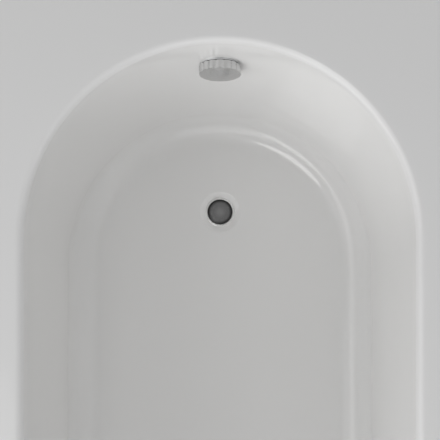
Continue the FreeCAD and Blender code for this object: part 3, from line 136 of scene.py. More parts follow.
class MaterialTree:
    """A material while its nodes are being wired."""

    def __init__(self, name: str) -> None:
        """Starts an empty material."""
        self.material = bpy.data.materials.new(name)
        self.material.use_nodes = True
        self.tree = self.material.node_tree
        self.tree.nodes.clear()
        self.place = put(self.tree, "ShaderNodeTexCoord", out="Object")

    def stretched(self, scale: tuple[float, float, float]) -> Socket:
        """Object coordinates stretched along the axes."""
        return put(self.tree, "ShaderNodeMapping", {"Vector": self.place, "Scale": scale})

    def noise(self, scale: float, detail: float = 2.0, where: Feed = None, rough: float = 0.5) -> Socket:
        """A cloudy pattern from 0 to 1, of so many features a metre."""
        feeds = {"Vector": where or self.place, "Scale": scale, "Detail": detail, "Roughness": rough}
        return put(self.tree, "ShaderNodeTexNoise", feeds)

    def between(
        self, amount: Feed, low: float, high: float, start: float = 0.0, end: float = 1.0,
    ) -> Socket:
        """A number carried smoothly from one range to another."""
        feeds = {0: amount, 1: start, 2: end, 3: low, 4: high}
        return put(self.tree, "ShaderNodeMapRange", feeds, interpolation_type="SMOOTHSTEP")

    def blend(self, amount: Feed, first: Feed, second: Feed) -> Socket:
        """A mix of two colours."""
        first, second = (f if isinstance(f, Socket) else (*f, 1.0) for f in (first, second))
        return put(self.tree, "ShaderNodeMix", {0: amount, 6: first, 7: second}, 2, data_type="RGBA")

    def bump(self, height: Feed, strength: float, depth: float) -> Socket:
        """Relief from a height, with its depth in metres."""
        return put(self.tree, "ShaderNodeBump", {"Strength": strength, "Distance": depth, "Height": height})

    def finish(self, colour: Feed, rough: Feed, relief: Feed = None, **constants: float) -> Material:
        """Closes the material with its shader.

        Args:
            colour: Socket or colour of the surface.
            rough: Socket or number for its roughness.
            relief: Normal socket.
            constants: Shader inputs that are the same all over, with _ for a space.

        Returns:
            The finished material.
        """
        feeds: dict[int | str, Feed] = {
            "Base Color": colour if isinstance(colour, Socket) else (*colour, 1.0),
            "Roughness": rough,
            "Normal": relief,
        }
        feeds.update({key.replace("_", " "): value for key, value in constants.items()})
        shader = put(self.tree, "ShaderNodeBsdfPrincipled", feeds)
        end = self.tree.nodes.new("ShaderNodeOutputMaterial")
        self.tree.links.new(shader, end.inputs["Surface"])
        return self.material


# ---------------------------------------------------------------- finishes


@dataclass(frozen=True)
class GlossAcrylic:
    """Polished sanitary acrylic; below the deck's height it turns a touch warmer, a painted tint that stands in
    for the light inside the well.
    """

    name: str
    deck: Colour
    well: Colour
    deck_height: float
    rough: float = 0.06

    def make(self) -> Material:
        """Builds the material."""
        m = MaterialTree(self.name)
        height = put(m.tree, "ShaderNodeSeparateXYZ", {0: m.place}, 2)
        # Painted tint: below the deck's height the colour blends to the warmer well colour, standing in for the
        # light that falls inside the well.
        painted_well_tint = m.between(height, 1.0, 0.0, self.deck_height - 0.02, self.deck_height)
        base = m.blend(painted_well_tint, self.deck, self.well)
        cloud = m.noise(3.5, 3.0)
        dull = tuple(c * 0.975 for c in self.well)
        base = m.blend(m.between(cloud, 0.0, 0.35), base, dull)
        rough = m.between(m.noise(9.0, 4.0), self.rough * 0.8, self.rough * 1.25)
        wave = m.noise(14.0, 2.0)
        return m.finish(base, rough, m.bump(wave, 0.05, 0.0012), IOR=1.49, Specular_IOR_Level=0.5)


@dataclass(frozen=True)
class GlassFibre:
    """Resin and chopped glass mat sprayed on the hidden side of a shell."""

    name: str
    resin: Colour
    strand: Colour

    def make(self) -> Material:
        """Builds the material."""
        m = MaterialTree(self.name)
        mat = put(
            m.tree, "ShaderNodeTexVoronoi", {"Vector": m.stretched((1.0, 3.0, 1.4)), "Scale": 90.0},
            feature="DISTANCE_TO_EDGE",
        )
        strands = m.between(mat, 1.0, 0.0, 0.0, 0.25)
        lumps = m.noise(55.0, 5.0, rough=0.65)
        base = m.blend(strands, self.resin, self.strand)
        height = sums(m.tree, "MULTIPLY_ADD", strands, 0.4, lumps)
        return m.finish(base, m.between(lumps, 0.35, 0.65), m.bump(height, 0.6, 0.0012))


@dataclass(frozen=True)
class PolishedMetal:
    """Chrome or another mirror finish, with the faint haze of wiping."""

    name: str
    colour: Colour
    rough: float = 0.06
    haze: float = 0.05
    metallic: float = 1.0

    def make(self) -> Material:
        """Builds the material."""
        m = MaterialTree(self.name)
        smear = m.noise(160.0, 4.0, m.stretched((1.0, 3.0, 1.0)))
        rough = m.between(smear, self.rough, self.rough + self.haze, 0.35, 0.75)
        spots = m.noise(900.0, 2.0)
        base = m.blend(
            m.between(spots, 0.0, 0.3, 0.6, 0.75), self.colour, tuple(c * 0.9 for c in self.colour),
        )
        return m.finish(base, rough, m.bump(m.noise(420.0, 2.0), 0.02, 0.0002), Metallic=self.metallic)


@dataclass(frozen=True)
class ChromeWithPaintedReflection:
    """A turned chrome disc with painted reflection and painted shade in its colour: brightest at its centre and
    nearly black at its edge.
    """

    name: str
    centre_x: float
    radius: float
    centre: float = 0.95
    middle: float = 0.66
    edge: float = 0.10
    middle_at: float = 0.72
    edge_from: float = 0.68
    edge_at: float = 0.98

    def make(self) -> Material:
        """Builds the material."""
        m = MaterialTree(self.name)
        # Painted reflection and painted shade: the colour falls with distance from the centre, from bright to
        # nearly black at the rim.
        away = vectors(m.tree, "DISTANCE", m.stretched((1.0, 1.0, 0.0)), (self.centre_x, 0.0, 0.0), out=1)
        inner = m.between(away, 0.0, 1.0, 0.0, self.radius * self.middle_at)
        outer = m.between(away, 0.0, 1.0, self.radius * self.edge_from, self.radius * self.edge_at)
        base = m.blend(inner, (self.centre,) * 3, (self.middle,) * 3)
        base = m.blend(outer, base, (self.edge,) * 3)
        rough = m.between(m.noise(180.0, 3.0), 0.10, 0.18)
        return m.finish(base, rough, m.bump(m.noise(420.0, 2.0), 0.02, 0.0002), Metallic=1.0)


@dataclass(frozen=True)
class WorkedMetal:
    """Steel or brass with tool marks, plating spangle or a brushed grain."""

    name: str
    colour: Colour
    dark: Colour
    rough: float = 0.32
    grain: tuple[float, float, float] = (1.0, 1.0, 12.0)

    def make(self) -> Material:
        """Builds the material."""
        m = MaterialTree(self.name)
        lines = m.noise(240.0, 3.0, m.stretched(self.grain))
        patches = put(m.tree, "ShaderNodeTexVoronoi", {"Vector": m.place, "Scale": 230.0}, "Distance")
        base = m.blend(m.between(lines, 0.0, 1.0, 0.3, 0.7), self.colour, self.dark)
        base = m.blend(m.between(patches, 0.0, 0.25), base, self.dark)
        rough = m.between(lines, self.rough * 0.75, self.rough * 1.35)
        return m.finish(base, rough, m.bump(lines, 0.25, 0.0002), Metallic=1.0)


@dataclass(frozen=True)
class PowderCoat:
    """Baked paint with its orange-peel skin and rubbed spots."""

    name: str
    colour: Colour
    worn: Colour

    def make(self) -> Material:
        """Builds the material."""
        m = MaterialTree(self.name)
        dust = m.noise(12.0, 6.0, rough=0.6)
        base = m.blend(m.between(dust, 0.0, 0.6, 0.45, 0.75), self.colour, self.worn)
        peel = m.noise(1100.0, 2.0)
        return m.finish(base, m.between(dust, 0.42, 0.6), m.bump(peel, 0.35, 0.00025))


@dataclass(frozen=True)
class MouldedPlastic:
    """Injection-moulded plastic or rubber with a fine spark grain."""

    name: str
    colour: Colour
    rough: float = 0.45
    grain: float = 0.25

    def make(self) -> Material:
        """Builds the material."""
        m = MaterialTree(self.name)
        flow = m.noise(26.0, 4.0)
        base = m.blend(m.between(flow, 0.0, 0.5), self.colour, tuple(c * 0.86 for c in self.colour))
        rough = m.between(flow, self.rough * 0.85, min(1.0, self.rough * 1.2))
        return m.finish(base, rough, m.bump(m.noise(1500.0, 2.0), self.grain, 0.0002))


class Cut(Enum):
    """How a piece of wood shows its growth."""

    FACE = (1.0, 14.0, 14.0)
    ACROSS = (14.0, 1.0, 14.0)


@dataclass(frozen=True)
class SawnWood:
    """Softwood or a plywood board, with grain lines and darker pores."""

    name: str
    pale: Colour
    dark: Colour
    cut: Cut = Cut.FACE

    def make(self) -> Material:
        """Builds the material."""
        m = MaterialTree(self.name)
        along = m.stretched(self.cut.value)
        bend = m.noise(2.2, 3.0, along)
        shifted = vectors(m.tree, "MULTIPLY_ADD", bend, (0.06, 0.06, 0.06), along)
        rings = put(
            m.tree,
            "ShaderNodeTexWave",
            {"Vector": shifted, "Scale": 4.5, "Distortion": 3.0, "Detail": 3.0, "Detail Scale": 1.2},
            "Fac",
            bands_direction="Y" if self.cut is Cut.FACE else "X",
        )
        pores = m.noise(60.0, 4.0, along, 0.7)
        base = m.blend(m.between(rings, 0.0, 0.75), self.pale, self.dark)
        base = m.blend(m.between(pores, 0.0, 0.5, 0.55, 0.8), base, self.dark)
        return m.finish(base, m.between(pores, 0.55, 0.8), m.bump(pores, 0.3, 0.0006))


Finish = GlossAcrylic | GlassFibre | PolishedMetal | WorkedMetal | PowderCoat | MouldedPlastic | SawnWood


@dataclass
class Finishes:
    """Every finish of the bath, each made once and shared."""

    deck_height: float
    drain_x: float
    made: dict[str, Material] = field(default_factory=dict)

    def recipes(self) -> dict[str, Finish]:
        """The finish of each of the record's material slots."""
        steel = (0.56, 0.56, 0.55)
        return {
            # The basin's second colour is the painted well tint: light inside the well laid into the acrylic's
            # colour.
            "basin_acrylic": GlossAcrylic(
                "gloss_acrylic_well", (0.80, 0.80, 0.80), (0.80, 0.797, 0.790), self.deck_height,
            ),
            "skirt_acrylic": GlossAcrylic(
                "gloss_acrylic_skirt", (0.80, 0.80, 0.80), (0.80, 0.80, 0.795), self.deck_height,
            ),
            "shell_backing": GlassFibre("glass_fibre_backing", (0.62, 0.60, 0.52), (0.74, 0.73, 0.68)),
            "floor_board": SawnWood("birch_ply", (0.60, 0.44, 0.27), (0.40, 0.26, 0.14)),
            "batten_wood": SawnWood("spruce_batten", (0.66, 0.47, 0.26), (0.42, 0.26, 0.12)),
            "frame_steel": PowderCoat("grey_powder_coat", (0.12, 0.125, 0.13), (0.18, 0.18, 0.18)),
            "zinc_steel": WorkedMetal(
                "zinc_plate", (0.62, 0.63, 0.62), (0.44, 0.45, 0.46), 0.34, (1.0, 1.0, 1.0),
            ),
            "stud_steel": WorkedMetal(
                "bright_stud_steel", (0.60, 0.60, 0.59), (0.40, 0.40, 0.41), 0.28, (1.0, 1.0, 4.0),
            ),
            "foot_pad_plastic": MouldedPlastic("black_foot_plastic", (0.022, 0.022, 0.024), 0.55, 0.4),
            "chrome": PolishedMetal("satin_flange_chrome", (0.84, 0.84, 0.83), 0.14, 0.06, 0.3),
            # The plug's colour carries painted reflection and shade, graded from its centre to its rim.
            "plug_chrome": ChromeWithPaintedReflection("plug_chrome", self.drain_x, Drain.plug_radius * MM),
            "knob_chrome": PolishedMetal("knob_chrome", (0.67, 0.67, 0.67), 0.18, 0.05),
            "collar_chrome": PolishedMetal("collar_chrome", (0.78, 0.79, 0.80), 0.08),
            "seal_rubber": MouldedPlastic("black_seal_rubber", (0.018, 0.018, 0.018), 0.62, 0.3),
            "gasket_rubber": MouldedPlastic("dark_gasket_rubber", (0.03, 0.03, 0.032), 0.7, 0.4),
            "brass_stem": WorkedMetal(
                "turned_brass", (0.62, 0.43, 0.16), (0.42, 0.28, 0.10), 0.26, (1.0, 1.0, 16.0),
            ),
            "waste_plastic": MouldedPlastic("white_waste_plastic", (0.62, 0.62, 0.60), 0.42),
            "lever_plastic": MouldedPlastic("grey_acetal", (0.045, 0.048, 0.055), 0.38),
            "pin_steel": WorkedMetal("pin_steel", steel, (0.36, 0.36, 0.37), 0.25),
            "wire_steel": WorkedMetal("wire_steel", steel, (0.34, 0.34, 0.35), 0.30, (8.0, 1.0, 1.0)),
            "cable_sheath": MouldedPlastic("black_sheath", (0.02, 0.02, 0.022), 0.40),
            "hose_plastic": MouldedPlastic("grey_white_hose", (0.56, 0.56, 0.55), 0.44),
            "clamp_steel": WorkedMetal(
                "clamp_band_steel", (0.62, 0.62, 0.62), (0.46, 0.46, 0.46), 0.24, (1.0, 6.0, 1.0),
            ),
            "clip_plastic": MouldedPlastic("clip_plastic", (0.03, 0.03, 0.033), 0.5),
            "trap_plastic": MouldedPlastic("white_trap_plastic", (0.68, 0.68, 0.67), 0.36),
            "trap_nut_plastic": MouldedPlastic("grey_trap_nut", (0.58, 0.58, 0.57), 0.42),
        }

    def of(self, slot: str) -> Material:
        """The material of a slot, made the first time it is asked for."""
        if slot not in self.made:
            self.made[slot] = self.recipes()[slot].make()
        return self.made[slot]


# ---------------------------------------------------------------- meshes


def piece_from(mesh: bpy.types.Mesh, name: str, *materials: Material) -> Piece:
    """Puts a mesh in the scene as a piece at the origin."""
    piece = bpy.data.objects.new(name, mesh)
    bpy.context.scene.collection.objects.link(piece)
    for material in materials:
        mesh.materials.append(material)
    return piece


def settle(bm: BMesh, name: str, *materials: Material, crease: float = 32.0, outward: bool = True) -> Piece:
    """Turns a closed bmesh into a smooth-shaded piece.

    Args:
        bm: The mesh, which is freed.
        name: The piece's name.
        materials: Its material slots in order.
        crease: Edges sharper than this many degrees stay crisp.
        outward: Whether its faces are turned outwards first.

    Returns:
        The new object.
    """
    if outward:
        bmesh.ops.recalc_face_normals(bm, faces=bm.faces)
    for face in bm.faces:
        face.smooth = True
    mesh = bpy.data.meshes.new(name)
    bm.to_mesh(mesh)
    bm.free()
    mesh.set_sharp_from_angle(angle=math.radians(crease))
    return piece_from(mesh, name, *materials)


def ring(bm: BMesh, points: Iterable[Sequence[float]]) -> Loop:
    """Adds a closed ring of vertices."""
    return [bm.verts.new(p) for p in points]


def band(bm: BMesh, first: Loop, second: Loop, material: int = 0) -> None:
    """Joins two rings of equal count by quads."""
    count = len(first)
    for i in range(count):
        j = (i + 1) % count
        bm.faces.new((first[i], first[j], second[j], second[i])).material_index = material


def ring_edges(bm: BMesh, loop: Loop) -> list[bmesh.types.BMEdge]:
    """The edges along a ring, made where they are missing."""
    found = []
    for i, vert in enumerate(loop):
        pair = (vert, loop[(i + 1) % len(loop)])
        found.append(bm.edges.get(pair) or bm.edges.new(pair))
    return found


def fill_between(bm: BMesh, loops: Sequence[Loop], material: int = 0) -> None:
    """Fills the flat area between an outer ring and the rings inside it."""
    edges = [e for loop in loops for e in ring_edges(bm, loop)]
    made = bmesh.ops.triangle_fill(bm, use_beauty=True, use_dissolve=False, edges=edges)
    for item in made["geom"]:
        if isinstance(item, bmesh.types.BMFace):
            item.material_index = material


def round_points(radius: float, height: float, steps: int) -> list[Vector]:
    """Points round the Z axis."""
    return [
        Vector((radius * math.cos(TAU * i / steps), radius * math.sin(TAU * i / steps), height))
        for i in range(steps)
    ]


def lathe(bm: BMesh, profile: Profile, steps: int, place: Matrix, closed: bool = True) -> None:
    """Turns a profile round the local Z axis.

    Args:
        bm: The mesh that gets it.
        profile: Radius and height of each corner, in millimetres; radius 0 is a pole.
        steps: Divisions round the axis.
        place: From the local frame to the row frame.
        closed: Whether the last corner joins the first.
    """
    rows: list[Loop] = []
    for radius, height in profile:
        if radius <= 0.0:
            rows.append([bm.verts.new(place @ Vector((0.0, 0.0, height * MM)))])
        else:
            rows.append(ring(bm, [place @ p for p in round_points(radius * MM, height * MM, steps)]))
    pairs = list(zip(rows, rows[1:])) + ([(
        rows[-1], rows[0],
    )] if closed and len(rows[-1]) > 1 and len(rows[0]) > 1 else [])
    for a, b in pairs:
        if len(a) > 1 and len(b) > 1:
            band(bm, a, b)
        elif len(a) != len(b):
            pole, rim = (a[0], b) if len(a) == 1 else (b[0], a)
            for i in range(len(rim)):
                bm.faces.new((pole, rim[i], rim[(i + 1) % len(rim)]))


def eased(corners: Sequence[tuple[float, float, float]], steps: int = 3) -> Profile:
    """Rounds the corners of a closed profile.

    Args:
        corners: Radius, height and rounding of each corner, in millimetres.
        steps: Divisions of each round.

    Returns:
        The profile with its rounds.
    """
    out: Profile = []
    count = len(corners)
    for i, (r, h, ease) in enumerate(corners):
        here = Vector((r, h))
        if ease <= 0.0:
            out.append((r, h))
            continue
        before, after = (Vector(corners[(i + d) % count][:2]) - here for d in (-1, 1))
        reach = min(ease, before.length * 0.45, after.length * 0.45)
        a, b = here + before.normalized() * reach, here + after.normalized() * reach
        for k in range(steps + 1):
            t = k / steps
            p = a * (1 - t) ** 2 + here * 2 * t * (1 - t) + b * t**2
            out.append((p.x, p.y))
    return out


class GrowthTree:
    """A Geometry Nodes tree with named sizes, which grows one piece from a base mesh."""

    def __init__(self, name: str, sizes: dict[str, float]) -> None:
        """Makes the tree's inputs and output.

        Args:
            name: The tree's name.
            sizes: Each named input and its value.
        """
        self.tree = bpy.data.node_groups.new(name, "GeometryNodeTree")
        face = self.tree.interface
        face.new_socket("Base", in_out="INPUT", socket_type="NodeSocketGeometry")
        self.values: dict[str, float] = {}
        for label, value in sizes.items():
            socket = face.new_socket(label, in_out="INPUT", socket_type="NodeSocketFloat")
            self.values[socket.identifier] = value
        face.new_socket("Piece", in_out="OUTPUT", socket_type="NodeSocketGeometry")
        self.source = self.tree.nodes.new("NodeGroupInput")
        self.base = self.source.outputs["Base"]

    def size(self, label: str) -> Socket:
        """A named input's socket."""
        return self.source.outputs[label]

    def put(
        self, kind: str, feeds: dict[int | str, Feed] | None = None, out: int | str = 0,
        **settings: object,
    ) -> Socket:
        """Adds a node to this tree."""
        return put(self.tree, kind, feeds, out, **settings)

    def sums(self, operation: str, *feeds: Feed) -> Socket:
        """One Math node in this tree."""
        return sums(self.tree, operation, *feeds)

    def times(self, first: Feed, second: Feed) -> Socket:
        """The product of two numbers."""
        return self.sums("MULTIPLY", first, second)

    def over(self, first: Feed, second: Feed) -> Socket:
        """The first number divided by the second."""
        return self.sums("DIVIDE", first, second)

    def plus(self, first: Feed, second: Feed) -> Socket:
        """The sum of two numbers."""
        return self.sums("ADD", first, second)

    def minus(self, first: Feed, second: Feed) -> Socket:
        """The first number less the second."""
        return self.sums("SUBTRACT", first, second)

    def vectors(self, operation: str, *feeds: Feed) -> Socket:
        """One Vector Math node in this tree."""
        return vectors(self.tree, operation, *feeds)

    def scaled(self, vector: Feed, amount: Feed) -> Socket:
        """A vector times a number."""
        return self.put("ShaderNodeVectorMath", {0: vector, "Scale": amount}, operation="SCALE")

    def keep(self, shape: Feed, label: str, value: Feed) -> Socket:
        """Stores a vector on a shape's points under a name."""
        feeds = {"Geometry": shape, "Name": label, "Value": value}
        return self.put("GeometryNodeStoreNamedAttribute", feeds, data_type="FLOAT_VECTOR", domain="POINT")

    def kept(self, label: str) -> Socket:
        """Reads back a stored vector."""
        return self.put("GeometryNodeInputNamedAttribute", {"Name": label}, data_type="FLOAT_VECTOR")

    def parts(self, vector: Feed) -> tuple[Socket, Socket, Socket]:
        """A vector's three numbers."""
        x = self.put("ShaderNodeSeparateXYZ", {0: vector})
        return x, x.node.outputs[1], x.node.outputs[2]

    def apply(
        self, piece: Piece, shape: Feed, material: Material, place: Matrix | None = None,
        crease: float = 32.0,
    ) -> Piece:
        """Closes the tree, runs it on a piece and leaves the piece a plain mesh.

        Args:
            piece: The object whose mesh is the base.
            shape: The geometry socket that ends the tree.
            material: The finished piece's material.
            place: From the local frame to the row frame.
            crease: Edges sharper than this many degrees stay crisp.

        Returns:
            The piece.
        """
        real = self.put("GeometryNodeRealizeInstances", {0: shape})
        dressed = self.put("GeometryNodeSetMaterial", {"Geometry": real, "Material": material})
        end = self.tree.nodes.new("NodeGroupOutput")
        self.tree.links.new(dressed, end.inputs[0])
        grower = piece.modifiers.new("growth", "NODES")
        grower.node_group = self.tree
        for identifier, value in self.values.items():
            grower[identifier] = value
        graph = bpy.context.evaluated_depsgraph_get()
        mesh = bpy.data.meshes.new_from_object(piece.evaluated_get(graph), depsgraph=graph)
        piece.modifiers.remove(grower)
        for label in [a.name for a in mesh.attributes if a.name.startswith("kept_")]:
            mesh.attributes.remove(mesh.attributes[label])
        bm = bmesh.new()
        bm.from_mesh(mesh)
        bmesh.ops.remove_doubles(bm, verts=bm.verts, dist=1e-6)
        bmesh.ops.recalc_face_normals(bm, faces=bm.faces)
        if place is not None:
            bmesh.ops.transform(bm, matrix=place, verts=bm.verts)
        for face in bm.faces:
            face.smooth = True
        bm.to_mesh(mesh)
        bm.free()
        mesh.name = piece.name
        mesh.set_sharp_from_angle(angle=math.radians(crease))
        piece.data = mesh
        return piece


def wire(name: str, points: Sequence[Sequence[float]], closed: bool) -> Piece:
    """An object whose mesh is a bare line through some points."""
    mesh = bpy.data.meshes.new(name)
    edges = [(i, i + 1) for i in range(len(points) - 1)] + ([(len(points) - 1, 0)] if closed else [])
    mesh.from_pydata([tuple(p) for p in points], edges, [])
    return piece_from(mesh, name)


def show(piece: Piece, body: str, slot: str, *nodes: str) -> None:
    """Puts a finished piece on its body in place of its CAD nodes, and reports it."""
    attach(piece, body)
    if nodes:
        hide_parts(*nodes)
    log.info("%s rides on %s with %d faces", piece.name, body, len(piece.data.polygons))


# ---------------------------------------------------------------- basin


@dataclass(frozen=True)
class WallLine:
    """One straight line down the well's wall, from the deck's plane to the floor's."""

    rim: Vector
    foot: Vector
    outward: Vector


@dataclass
class Basin:
    """Moulded shell: flat deck, round-ended well, dished drain seat and turned-down lip. In millimetres."""

    finishes: Finishes
    overflow: Matrix
    drain: Vector
    rim_centre: float = 469.0
    rim_half: float = 336.0
    foot_centre_drain: float = 406.984
    foot_centre_head: float = -295.099
    foot_half: float = 290.805
    fall_degrees: float = 0.8
    rim_round: float = 15.0
    floor_round: float = 62.0
    wall: float = 6.0
    deck_round: float = 8.0
    lip_depth: float = 32.0
    corner: float = 45.0
    overflow_radius: float = 26.0
    arc_steps: int = 96
    side_steps: int = 40
    rim_steps: int = 14
    wall_steps: int = 14
    floor_steps: int = 28
    glossy_edge_rows: int = 15
    glossy_seat_rows: int = 11

    def floor_height(self, x: float) -> float:
        """Height of the sloping floor at x, in metres."""
        return self.drain.z + (self.drain.x - x) * math.tan(math.radians(self.fall_degrees))

    def line(
        self, rim: tuple[float, float], foot: tuple[float, float], outward: tuple[float, float],
    ) -> WallLine:
        """A wall line from its plan points in millimetres."""
        top = cad_box("basin")[1].z
        low = Vector((foot[0] * MM, foot[1] * MM, self.floor_height(foot[0] * MM)))
        return WallLine(Vector((rim[0] * MM, rim[1] * MM, top)), low, Vector((*outward, 0.0)))

    def outline(self) -> list[WallLine]:
        """The wall lines all the way round the well."""
        lines: list[WallLine] = []
        for side, foot_centre in ((1, self.foot_centre_drain), (-1, self.foot_centre_head)):
            for i in range(self.arc_steps + 1):
                turn = math.pi * (i / self.arc_steps - 0.5) + (0.0 if side > 0 else math.pi)
                c, s = math.cos(turn), math.sin(turn)
                rim = (side * self.rim_centre + self.rim_half * c, self.rim_half * s)
                lines.append(self.line(rim, (foot_centre + self.foot_half * c, self.foot_half * s), (c, s)))
            feet = (self.foot_centre_drain, self.foot_centre_head)
            start, end = feet if side > 0 else feet[::-1]
            for i in range(1, self.side_steps):
                t = i / self.side_steps
                rim = (side * self.rim_centre * (1 - 2 * t), side * self.rim_half)
                lines.append(self.line(
                    rim, (start + (end - start) * t, side * self.foot_half), (0.0, float(side)),
                ))
        return lines

    def section(self, line: WallLine) -> list[Vector]:
        """Points from the deck over the rim, down the wall and out on the floor."""
        slope = math.tan(math.radians(self.fall_degrees))
        inward = Vector((-line.outward.x, -line.outward.y, line.outward.x * slope)).normalized()
        down = (line.foot - line.rim).normalized()
        points = [line.rim + line.outward * 0.035, line.rim + line.outward * 0.024]
        top = self.fillet(line.rim, line.outward, down, self.rim_round * MM, self.rim_steps)
        base = self.fillet(line.foot, -down, inward, self.floor_round * MM, self.floor_steps)
        points += top
        points += [top[-1].lerp(base[0], i / self.wall_steps) for i in range(1, self.wall_steps)]
        points += base
        points += [base[-1] + inward * 0.006, base[-1] + inward * 0.02]
        return points

    @staticmethod
    def fillet(corner: Vector, first: Vector, second: Vector, radius: float, steps: int) -> list[Vector]:
        """An arc that eases the corner between two arms.

        Args:
            corner: Where the arms meet.
            first: Unit direction along the arm where the arc starts.
            second: Unit direction along the arm where it ends.
            radius: The arc's radius in metres.
            steps: Divisions of the arc.

        Returns:
            The arc's points.
        """
        half = first.angle(second) / 2
        middle = corner + (first + second).normalized() * (radius / math.sin(half))
        start = corner + first * (radius / math.tan(half)) - middle
        end = corner + second * (radius / math.tan(half)) - middle
        sweep = start.angle(end)
        return [
            middle + (
                start * math.sin(sweep * (1 - i / steps))
                + end * math.sin(sweep * i / steps)
            ) / math.sin(sweep)
            for i in range(steps + 1)
        ]

    def deck_loop(self, inset: float, height: float, steps: int = 12) -> list[Vector]:
        """A rounded rectangle set in from the deck's outer edge, in millimetres."""
        high = cad_box("basin")[1]
        corner = max(self.corner - inset, 1.0) * MM
        half = Vector((high.x - inset * MM - corner, high.y - inset * MM - corner))
        points = []
        for quarter, (sx, sy) in enumerate(((1, 1), (-1, 1), (-1, -1), (1, -1))):
            for i in range(steps + 1):
                turn = math.pi / 2 * (quarter + i / steps)
                points.append(Vector((
                    sx * half.x + corner * math.cos(turn), sy * half.y + corner * math.sin(turn), height,
                )))
        return points

    def drain_row(self, radius: float, height: float, share: float, steps: int = 96) -> list[Vector]:
        """A ring round the drain whose height follows the floor's fall by a share."""
        points = round_points(radius * MM, 0.0, steps)
        for p in points:
            p.x += self.drain.x
            p.z = self.drain.z + height * MM + share * (self.floor_height(p.x) - self.drain.z)
        return points

    def build(self) -> Piece:
        """Makes the whole shell as one closed mesh."""
        bm = bmesh.new()
        grid = np.array([[tuple(p) for p in self.section(line)] for line in self.outline()])
        around = np.roll(grid, -1, axis=0) - np.roll(grid, 1, axis=0)
        down = np.gradient(grid, axis=1)
        normals = np.cross(around, down)
        normals /= np.linalg.norm(normals, axis=2, keepdims=True)
        if normals[0, 0, 2] < 0:
            normals = -normals
        back = grid - normals * self.wall * MM
        rows = [ring(bm, grid[:, j]) for j in range(grid.shape[1])]
        backs = [ring(bm, back[:, j]) for j in range(grid.shape[1])]
        for a, b in zip(rows, rows[1:]):
            band(bm, a, b)
        for a, b in zip(backs, backs[1:]):
            band(bm, a, b, 1)
        self.build_edge(bm, rows[0], backs[0])
        self.build_seat(bm, rows[-1], backs[-1])
        bmesh.ops.remove_doubles(bm, verts=bm.verts, dist=1e-7)
        shell = settle(
            bm, "tub_shell", self.finishes.of("basin_acrylic"), self.finishes.of("shell_backing"),
            crease=40.0,
        )
        return self.pierce(shell)

    def build_edge(self, bm: BMesh, top: Loop, under: Loop) -> None:
        """Adds the deck, its rounded edge, the lip and the deck's underside."""
        high = cad_box("basin")[1]
        lip_foot = high.z - self.lip_depth * MM
        r = self.deck_round
        levels = [(r + 6, high.z), (r, high.z)]
        levels += [
            (r * (1 - math.sin(a)), high.z - r * MM * (1 - math.cos(a)))
            for a in (math.pi / 2 * i / 8 for i in range(1, 9))
        ]
        levels += [
            (0.0, lip_foot + 0.003), (0.0, lip_foot + 0.0012), (0.5, lip_foot + 0.0003), (1.2, lip_foot),
            (4.8, lip_foot),
        ]
        levels += [(5.5, lip_foot + 0.0003), (self.wall, lip_foot + 0.0012), (self.wall, lip_foot + 0.004)]
        ceiling = high.z - self.wall * MM
        levels += [
            (self.wall, ceiling - 0.003), (self.wall + 0.4, ceiling - 0.0008), (self.wall + 2, ceiling),
            (self.wall + 8, ceiling),
        ]
        loops = [ring(bm, self.deck_loop(inset, height)) for inset, height in levels]
        for i, (a, b) in enumerate(zip(loops, loops[1:])):
            band(bm, a, b, 0 if i < self.glossy_edge_rows else 1)
        fill_between(bm, (loops[0], top))
        fill_between(bm, (loops[-1], under), 1)

    def build_seat(self, bm: BMesh, floor: Loop, under: Loop) -> None:
        """Adds the dish, the drain hole and the boss under it."""
        levels = [
            (44.0, 0.0, 1.0), (41.0, 0.0, 1.0), (40.0, -0.08, 1.0), (39.0, -0.35, 1.0), (38.0, -0.75, 0.95),
            (32.0, -3.1, 0.3), (30.4, -3.7, 0.1), (29.4, -3.95, 0.0), (28.4, -4.0, 0.0),
            (26.6, -4.0, 0.0), (26.15, -4.15, 0.0), (26.0, -4.6, 0.0), (26.0, -9.4, 0.0),
            (26.2, -9.9, 0.0), (26.8, -10.0, 0.0),
            (44.0, -10.0, 0.0), (44.8, -9.8, 0.0), (45.0, -9.2, 0.1), (45.0, -6.6, 0.9), (45.3, -6.1, 1.0),
            (46.2, -6.0, 1.0), (50.0, -6.0, 1.0),
        ]
        loops = [ring(bm, self.drain_row(*level)) for level in levels]
        for i, (a, b) in enumerate(zip(loops, loops[1:])):
            band(bm, a, b, 0 if i < self.glossy_seat_rows else 1)
        fill_between(bm, (floor, loops[0]))
        fill_between(bm, (under, loops[-1]), 1)

    def pierce(self, shell: Piece) -> Piece:
        """Cuts the overflow hole through the wall behind the knob."""
        bm = bmesh.new()
        lathe(
            bm, [(0, -30), (self.overflow_radius, -30), (self.overflow_radius, 30), (0, 30)], 96,
            self.overflow, closed=False,
        )
        cutter = settle(bm, "overflow_cutter")
        cut = shell.modifiers.new("overflow_hole", "BOOLEAN")
        cut.operation, cut.solver, cut.object = "DIFFERENCE", "EXACT", cutter
        graph = bpy.context.evaluated_depsgraph_get()
        mesh = bpy.data.meshes.new_from_object(shell.evaluated_get(graph), depsgraph=graph)
        shell.modifiers.remove(cut)
        bpy.data.objects.remove(cutter)
        mesh.name = shell.name
        mesh.set_sharp_from_angle(angle=math.radians(40.0))
        shell.data = mesh
        return shell

    def dress(self) -> None:
        """Shows the shell in place of its CAD node."""
        show(self.build(), "tub", "basin_acrylic", "basin")


# ---------------------------------------------------------------- skirt


